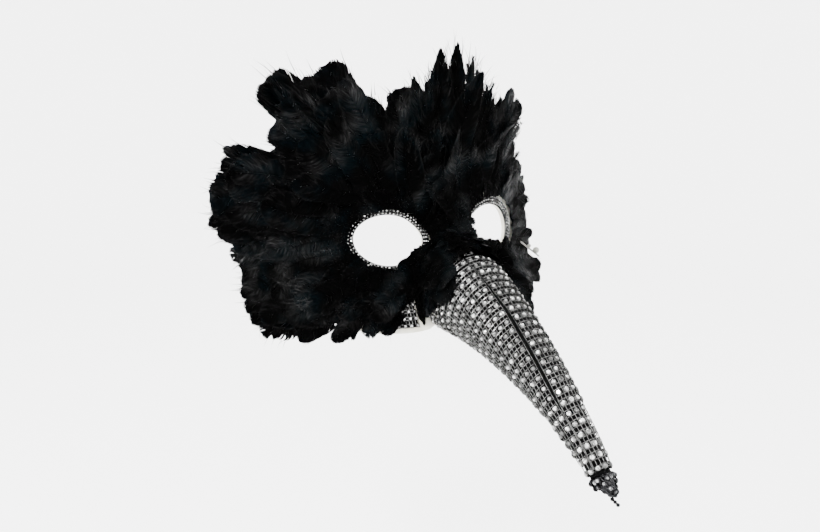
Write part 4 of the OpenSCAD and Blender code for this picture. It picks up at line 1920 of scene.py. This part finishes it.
    def lashes(self) -> None:
        """Tufts from the nose bridge that reach over the inner corner of the left eye hole."""
        rng = self.rng
        for z in (-5.0, -2.5, 0.0, 2.0, 4.5, 7.0, 9.5, 12.0):
            x = 7.5 + rng.uniform(-1, 1)
            tilt = math.radians(rng.normal(-4 + 1.5 * z, 8))
            d = np.array([math.cos(tilt), math.sin(tilt)])
            length = rng.uniform(11.5, 15.5)
            self.add(x, z, d, length, rng.uniform(5, 7.5), Tip.TORN, Bend(lift=12, droop=-14, cup=0.1), 3.2)

    def laid(self) -> None:
        """Broad feathers laid one by one: arcs on the right temple and cheek, points under the eye."""
        rng = self.rng
        for x in np.arange(-63, -20, 6.2):
            d = unit(np.array([rng.normal(-0.06, 0.1), -1.0]))
            z = -self.face.eye_half_h - 2.6 + 0.012 * (x + self.face.eye_x) ** 2
            tip = Tip.POINTED if rng.uniform() < 0.65 else Tip.ROUND
            lift = 7 + rng.normal(0, 2)
            bend = Bend(lift=lift, droop=-10, sweep=rng.normal(0, 9), roll=rng.normal(0, 9), cup=0.2)
            if x < -52:
                long = rng.uniform(25, 30)
            elif x < -42:
                long = rng.uniform(20, 24)
            else:
                long = rng.uniform(15, 18)
            self.add(x, z, d, long, rng.uniform(13, 17), tip, bend, 4.6 + rng.uniform(0, 0.8))
        # Each arc: x, z, direction, length, width and sweep
        arcs = (
            (-62, 8, 168, 44, 19, 40), (-66, 0, 176, 42, 20, 46), (-66, -8, 184, 40, 19, 52),
            (-62, -18, 190, 38, 18, 56), (-56, -26, 196, 36, 17, 52), (-70, -14, 182, 40, 20, 60),
            (-72, -24, 190, 34, 19, 50), (-48, 26, 152, 44, 17, 26), (-60, 20, 160, 46, 18, 34),
            (-74, 4, 172, 40, 20, 60), (-50, -34, 204, 30, 15, 30), (-66, -34, 200, 27, 16, 26),
            (-70, 14, 164, 44, 19, 48), (-54, 34, 146, 42, 17, 20), (-40, 36, 128, 40, 16, 8),
            (-30, 30, 112, 36, 15, 0),
        )
        scraps = ((-97, 12, 150, 17), (-101, 9, 120, 14), (-94, 14, 165, 15), (-99, 11, 95, 12))
        for x, z, turn, long in scraps:
            a = math.radians(turn)
            bend = Bend(lift=8, droop=-8, sweep=rng.normal(0, 20), roll=rng.normal(0, 20))
            self.add(x, z, np.array([math.cos(a), math.sin(a)]), long, 8.0, Tip.TORN, bend, 1.0)
        for x, z, turn, length, width, sweep in arcs:
            a = math.radians(turn + rng.normal(0, 4))
            d = np.array([math.cos(a), math.sin(a)])
            polar, distance = self.polar(x, z)
            length = min(length, max(18.0, self.reach_at(polar) - distance))
            bend = Bend(
                lift=15 + rng.normal(0, 4),
                droop=-26 + rng.normal(0, 6),
                sweep=sweep + rng.normal(0, 6),
                roll=rng.normal(8, 8),
                twist=rng.normal(0, 14),
                cup=0.28,
            )
            self.add(x, z, d, length, width, Tip.ROUND if rng.uniform() < 0.6 else Tip.SQUARE, bend, 3.2)

    def ridge(self) -> None:
        """Short tufts over the top of the beak's root; they stand up before the left eye hole."""
        rng = self.rng
        for k, start in ((0.1, -66), (0.55, -60), (1.05, -50), (1.55, -38)):
            for angle in np.arange(start, 30, 8.0):
                a = angle + rng.normal(0, 2.5)
                foot = self.beak.point(k, a, -0.5 - rng.uniform(0, 0.5))
                n = self.beak.normal(np.array(k), np.array(a))
                ahead = unit(self.beak.point(k + 0.3, a, 0.0) - self.beak.point(k, a, 0.0))
                around = np.cross(n, ahead)
                yaw = math.radians(rng.normal(0, 16))
                out = unit(ahead * math.cos(yaw) + around * math.sin(yaw))
                out = unit(out - float(out @ n) * n)
                lift, droop = 24 + rng.normal(0, 7), -30 + rng.normal(0, 8)
                bend = Bend(lift=lift, droop=droop, sweep=rng.normal(0, 14), cup=0.15)
                tip = Tip.TORN if rng.uniform() < 0.4 else Tip.ROUND
                which, length, width = int(rng.integers(0, 8)), rng.uniform(11, 15), rng.uniform(8, 11)
                made = self.kit.place(tip, which, foot, out, n, length, width, bend)
                side = RIGHT if a > 0 else LEFT
                self.groups.setdefault((Zone.BROW, side), []).append(made)

    def flank(self) -> None:
        """Feathers that lie down over the near side of the beak's root, on top of the stones."""
        rng = self.rng
        # Each row: angle from the top, step along the beak, length and turn back to the face
        rows = (
            (22, 1.7, 15, 14), (30, 2.4, 15, 12), (30, 1.2, 17, 26), (42, 2.9, 15, 10), (42, 0.6, 18, 28),
            (54, 3.0, 15, 8), (58, 1.6, 19, 20), (64, 2.8, 15, 10), (72, 2.0, 17, 16), (74, 0.5, 20, 24),
            (84, 1.9, 15, 10), (90, 0.8, 17, 12), (102, 0.6, 15, 8), (20, 0.2, 18, 30), (52, 0.2, 20, 26),
            (36, 3.0, 12, 6), (48, 3.4, 12, 4), (60, 3.3, 12, 4), (74, 2.6, 14, 6), (40, 1.8, 18, 18),
            (50, 2.3, 17, 14), (64, 2.2, 17, 12),
        )
        for angle, k, long, turn in rows:
            for _ in range(2):
                a = angle + rng.normal(0, 3)
                kk = max(0.1, k + rng.normal(0, 0.12))
                foot = self.beak.point(kk, a, -0.6 - rng.uniform(0, 0.5))
                n = self.beak.normal(np.array(kk), np.array(a))
                down = unit(self.beak.point(kk, a + 1.0, 0.0) - self.beak.point(kk, a - 1.0, 0.0))
                back = unit(self.beak.point(max(kk - 0.2, 0.0), a, 0.0) - self.beak.point(kk + 0.2, a, 0.0))
                mix = math.radians(rng.normal(6 + turn, 10))
                out = unit(down * math.cos(mix) + back * math.sin(mix))
                length = long * rng.uniform(0.9, 1.1)
                bend = Bend(
                    lift=10 + rng.normal(0, 3),
                    droop=-2.0 * length + rng.normal(0, 5),
                    sweep=rng.normal(0, 10),
                    roll=rng.normal(0, 7),
                    twist=rng.normal(0, 8),
                    cup=0.16,
                )
                tip = Tip.ROUND if rng.uniform() < 0.5 else Tip.POINTED
                wide = rng.uniform(11, 15)
                made = self.kit.place(tip, int(rng.integers(0, 8)), foot, out, n, length, wide, bend)
                self.groups.setdefault((Zone.JAW, RIGHT), []).append(made)

    def build(self) -> List[Tuple[bpy.types.Object, str]]:
        """Make one piece for every group.

        Returns:
            Each piece and the CAD node it stands for.
        """
        self.rim()
        self.cover()
        self.eye_ring(RIGHT)
        self.eye_ring(LEFT)
        self.lashes()
        self.under_tufts(LEFT, 196, 312, 6.5, 5.5)
        self.under_tufts(RIGHT, 203, 252, 4.2, 2.6)
        self.ridge()
        self.flank()
        self.laid()
        made = []
        for (zone, side), feathers in sorted(self.groups.items(), key=lambda g: (g[0][0].value, g[0][1])):
            verts, faces = merge([(v, f) for v, f, _ in feathers])
            uv = np.concatenate([u for _, _, u in feathers])
            hand = "right" if side == RIGHT else "left"
            obj = new_object(f"{hand}_{zone.value}_plumes", verts, faces, smooth=True, uv=uv)
            obj.data.materials.append(self.vane)
            log.info("%s: %d feathers, %d faces", obj.name, len(feathers), len(faces))
            made.append((obj, f"{hand}_{zone.value}_feathers"))
        return made


# ---- studio ----------------------------------------------------------------
@dataclass(frozen=True)
class Studio:
    """Pale sweep, soft lights and the camera."""

    camera_at: Tuple[float, float, float] = (-0.2692, -0.4097, 0.1022)
    camera_to: Tuple[float, float, float] = (-0.0193, 0.0062, -0.0188)
    lens: float = 35.56
    floor_z: float = -0.42
    paper: StudioPaper = StudioPaper()

    def sweep(self) -> bpy.types.Object:
        """A floor that curves up into a backdrop all round, so that every view is plain.

        Returns:
            The floor.
        """
        bm = bmesh.new()
        profile = [(0.0, 0.0), (1.6, 0.0)]
        turn = np.linspace(0.1, math.pi / 2, 14)
        profile += [(1.6 + 0.8 * math.sin(a), 0.8 - 0.8 * math.cos(a)) for a in turn]
        profile.append((2.4, 3.2))
        verts = [bm.verts.new((x, 0, z + self.floor_z)) for x, z in profile]
        edges = [bm.edges.new((a, b)) for a, b in zip(verts, verts[1:])]
        round_z = {"cent": (0, 0, 0), "axis": (0, 0, 1), "angle": 2 * math.pi}
        bmesh.ops.spin(bm, geom=verts + edges, steps=72, use_merge=True, **round_z)
        bmesh.ops.remove_doubles(bm, verts=bm.verts, dist=1e-5)
        bmesh.ops.recalc_face_normals(bm, faces=bm.faces)
        bmesh.ops.reverse_faces(bm, faces=bm.faces)
        verts_mm, faces = arrays_of(bm)
        obj = new_object("studio_floor", verts_mm / MM, faces, smooth=True)
        obj.data.materials.append(self.paper.make())
        return obj

    def lamp(self, name: str, at: Tuple[float, float, float], size: float, watts: float) -> None:
        """One soft area light that points at the mask.

        Args:
            name: Name of the light.
            at: Where it stands.
            size: Side of the square in metres.
            watts: Power.
        """
        data = bpy.data.lights.new(name, "AREA")
        data.shape = "SQUARE"
        data.size = size
        data.energy = watts
        obj = bpy.data.objects.new(name, data)
        obj.location = at
        obj.rotation_euler = (-Vector(at)).to_track_quat("-Z", "Y").to_euler()
        bpy.context.scene.collection.objects.link(obj)

    def build(self) -> None:
        """Set up the floor, the lights, the world and the camera."""
        self.sweep()
        self.lamp("key", (-1.1, -0.9, 1.3), 0.34, 44.0)
        self.lamp("side", (-1.5, -0.2, 0.3), 0.3, 26.0)
        self.lamp("fill", (0.3, -1.7, 0.6), 0.3, 4.0)
        self.lamp("ceiling", (0.0, 0.0, 2.7), 3.4, 330.0)
        world = bpy.data.worlds.new("studio_air")
        world.use_nodes = True
        background = world.node_tree.nodes["Background"]
        background.inputs["Color"].default_value = (1.0, 1.0, 1.0, 1.0)
        background.inputs["Strength"].default_value = 0.12
        bpy.context.scene.world = world
        data = bpy.data.cameras.new("camera")
        data.sensor_width = 36.0
        data.lens = self.lens
        data.clip_start, data.clip_end = 0.01, 50.0
        camera = bpy.data.objects.new("camera", data)
        camera.location = self.camera_at
        aim = Vector(self.camera_to) - Vector(self.camera_at)
        camera.rotation_euler = aim.to_track_quat("-Z", "Y").to_euler()
        bpy.context.scene.collection.objects.link(camera)
        bpy.context.scene.camera = camera


# ---- the mask --------------------------------------------------------------
@dataclass(frozen=True)
class Materials:
    """The finished materials, one for every slot."""

    shell: bpy.types.Material
    cloth: bpy.types.Material
    stones: bpy.types.Material
    end: bpy.types.Material
    enamel: bpy.types.Material
    vane: bpy.types.Material
    horn: bpy.types.Material
    glue: bpy.types.Material


def make_materials() -> Materials:
    """Make every material once.

    Returns:
        The materials.
    """
    # Darker stones for the gathered end, with the same painted glints and painted table highlight
    end = MirroredPlastic(
        name="smoky_metallised_acrylic",
        bright_and_glint="#9a9a9a",
        middle="#3c3c3d",
        smoky_and_shaded="#101011",
        high_rough=0.45,
    )
    return Materials(
        shell=MouldedPlastic().make(),
        cloth=BackingCloth().make(),
        stones=MirroredPlastic().make(),
        end=end.make(),
        enamel=Enamel().make(),
        vane=DyedVane().make(),
        horn=HornQuill().make(),
        glue=DriedGlue().make(),
    )


def fit(
    obj: bpy.types.Object, nodes: Sequence[str], material: Optional[bpy.types.Material] = None
) -> None:
    """Ride a new piece on the mask and the CAD nodes it stands for.

    Args:
        obj: The piece.
        nodes: CAD nodes it stands for.
        material: Material to give it, if it has none yet.
    """
    if material is not None:
        obj.data.materials.append(material)
    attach(obj, BODY)
    if nodes:
        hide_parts(*nodes)
    log.info("%s stands for %s", obj.name, ", ".join(nodes) or "no node")


def dress(node: str, material: bpy.types.Material) -> None:
    """Give a carried-over CAD node its material.

    Args:
        node: Name of the node.
        material: The material.
    """
    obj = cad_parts[node]
    obj.data.materials.clear()
    obj.data.materials.append(material)


def main() -> None:
    """Build the mask from the inside out, then the studio."""
    materials = make_materials()
    face = FaceForm()
    beak = BeakForm(face)
    for node in ("face_shell", "beak_shell"):
        dress(node, materials.shell)
    for node in ("right_eyelet", "left_eyelet"):
        dress(node, materials.enamel)
    dress("stripped_quill", materials.horn)
    dress("glue_beads", materials.glue)

    mesh = BeakMesh(beak, StoneNet(), materials.stones, materials.cloth)
    rng = np.random.default_rng(STONE_SEED)
    sleeve, seam = mesh.sleeve(), mesh.seam(rng)
    fit(sleeve, ["beak_backing_cloth"])
    fit(seam, ["beak_backing_cloth"])
    panels = [mesh.panel(RIGHT, rng), mesh.panel(LEFT, rng)]
    fit(panels[0], ["right_mesh_panel"])
    fit(panels[1], ["left_mesh_panel"])
    for side, hand in ((RIGHT, "right"), (LEFT, "left")):
        stones, cloth = mesh.skirt(side, rng), mesh.cheek_cloth(side)
        fit(stones, [f"{hand}_cheek_mesh"])
        fit(cloth, [f"{hand}_cheek_mesh"], materials.cloth)
    fit(mesh.gathered_end(rng), ["tip_wrap"], materials.end)
    fit(mesh.beads(), ["tip_beads"], materials.end)

    strips = EyeStrips(face)
    for side, hand in ((RIGHT, "right"), (LEFT, "left")):
        stones, ribbon = strips.strip(side, rng), strips.ribbon(side)
        fit(stones, [f"{hand}_eye_trim"], materials.stones)
        fit(ribbon, [f"{hand}_eye_trim"], materials.cloth)

    plumage = Plumage(face, beak, FeatherKit(FEATHER_SEED), materials.vane)
    for obj, node in plumage.build():
        fit(obj, [node])

    Studio().build()


if __name__ == "__main__":
    logging.basicConfig(level=logging.INFO, format="%(message)s")
    main()
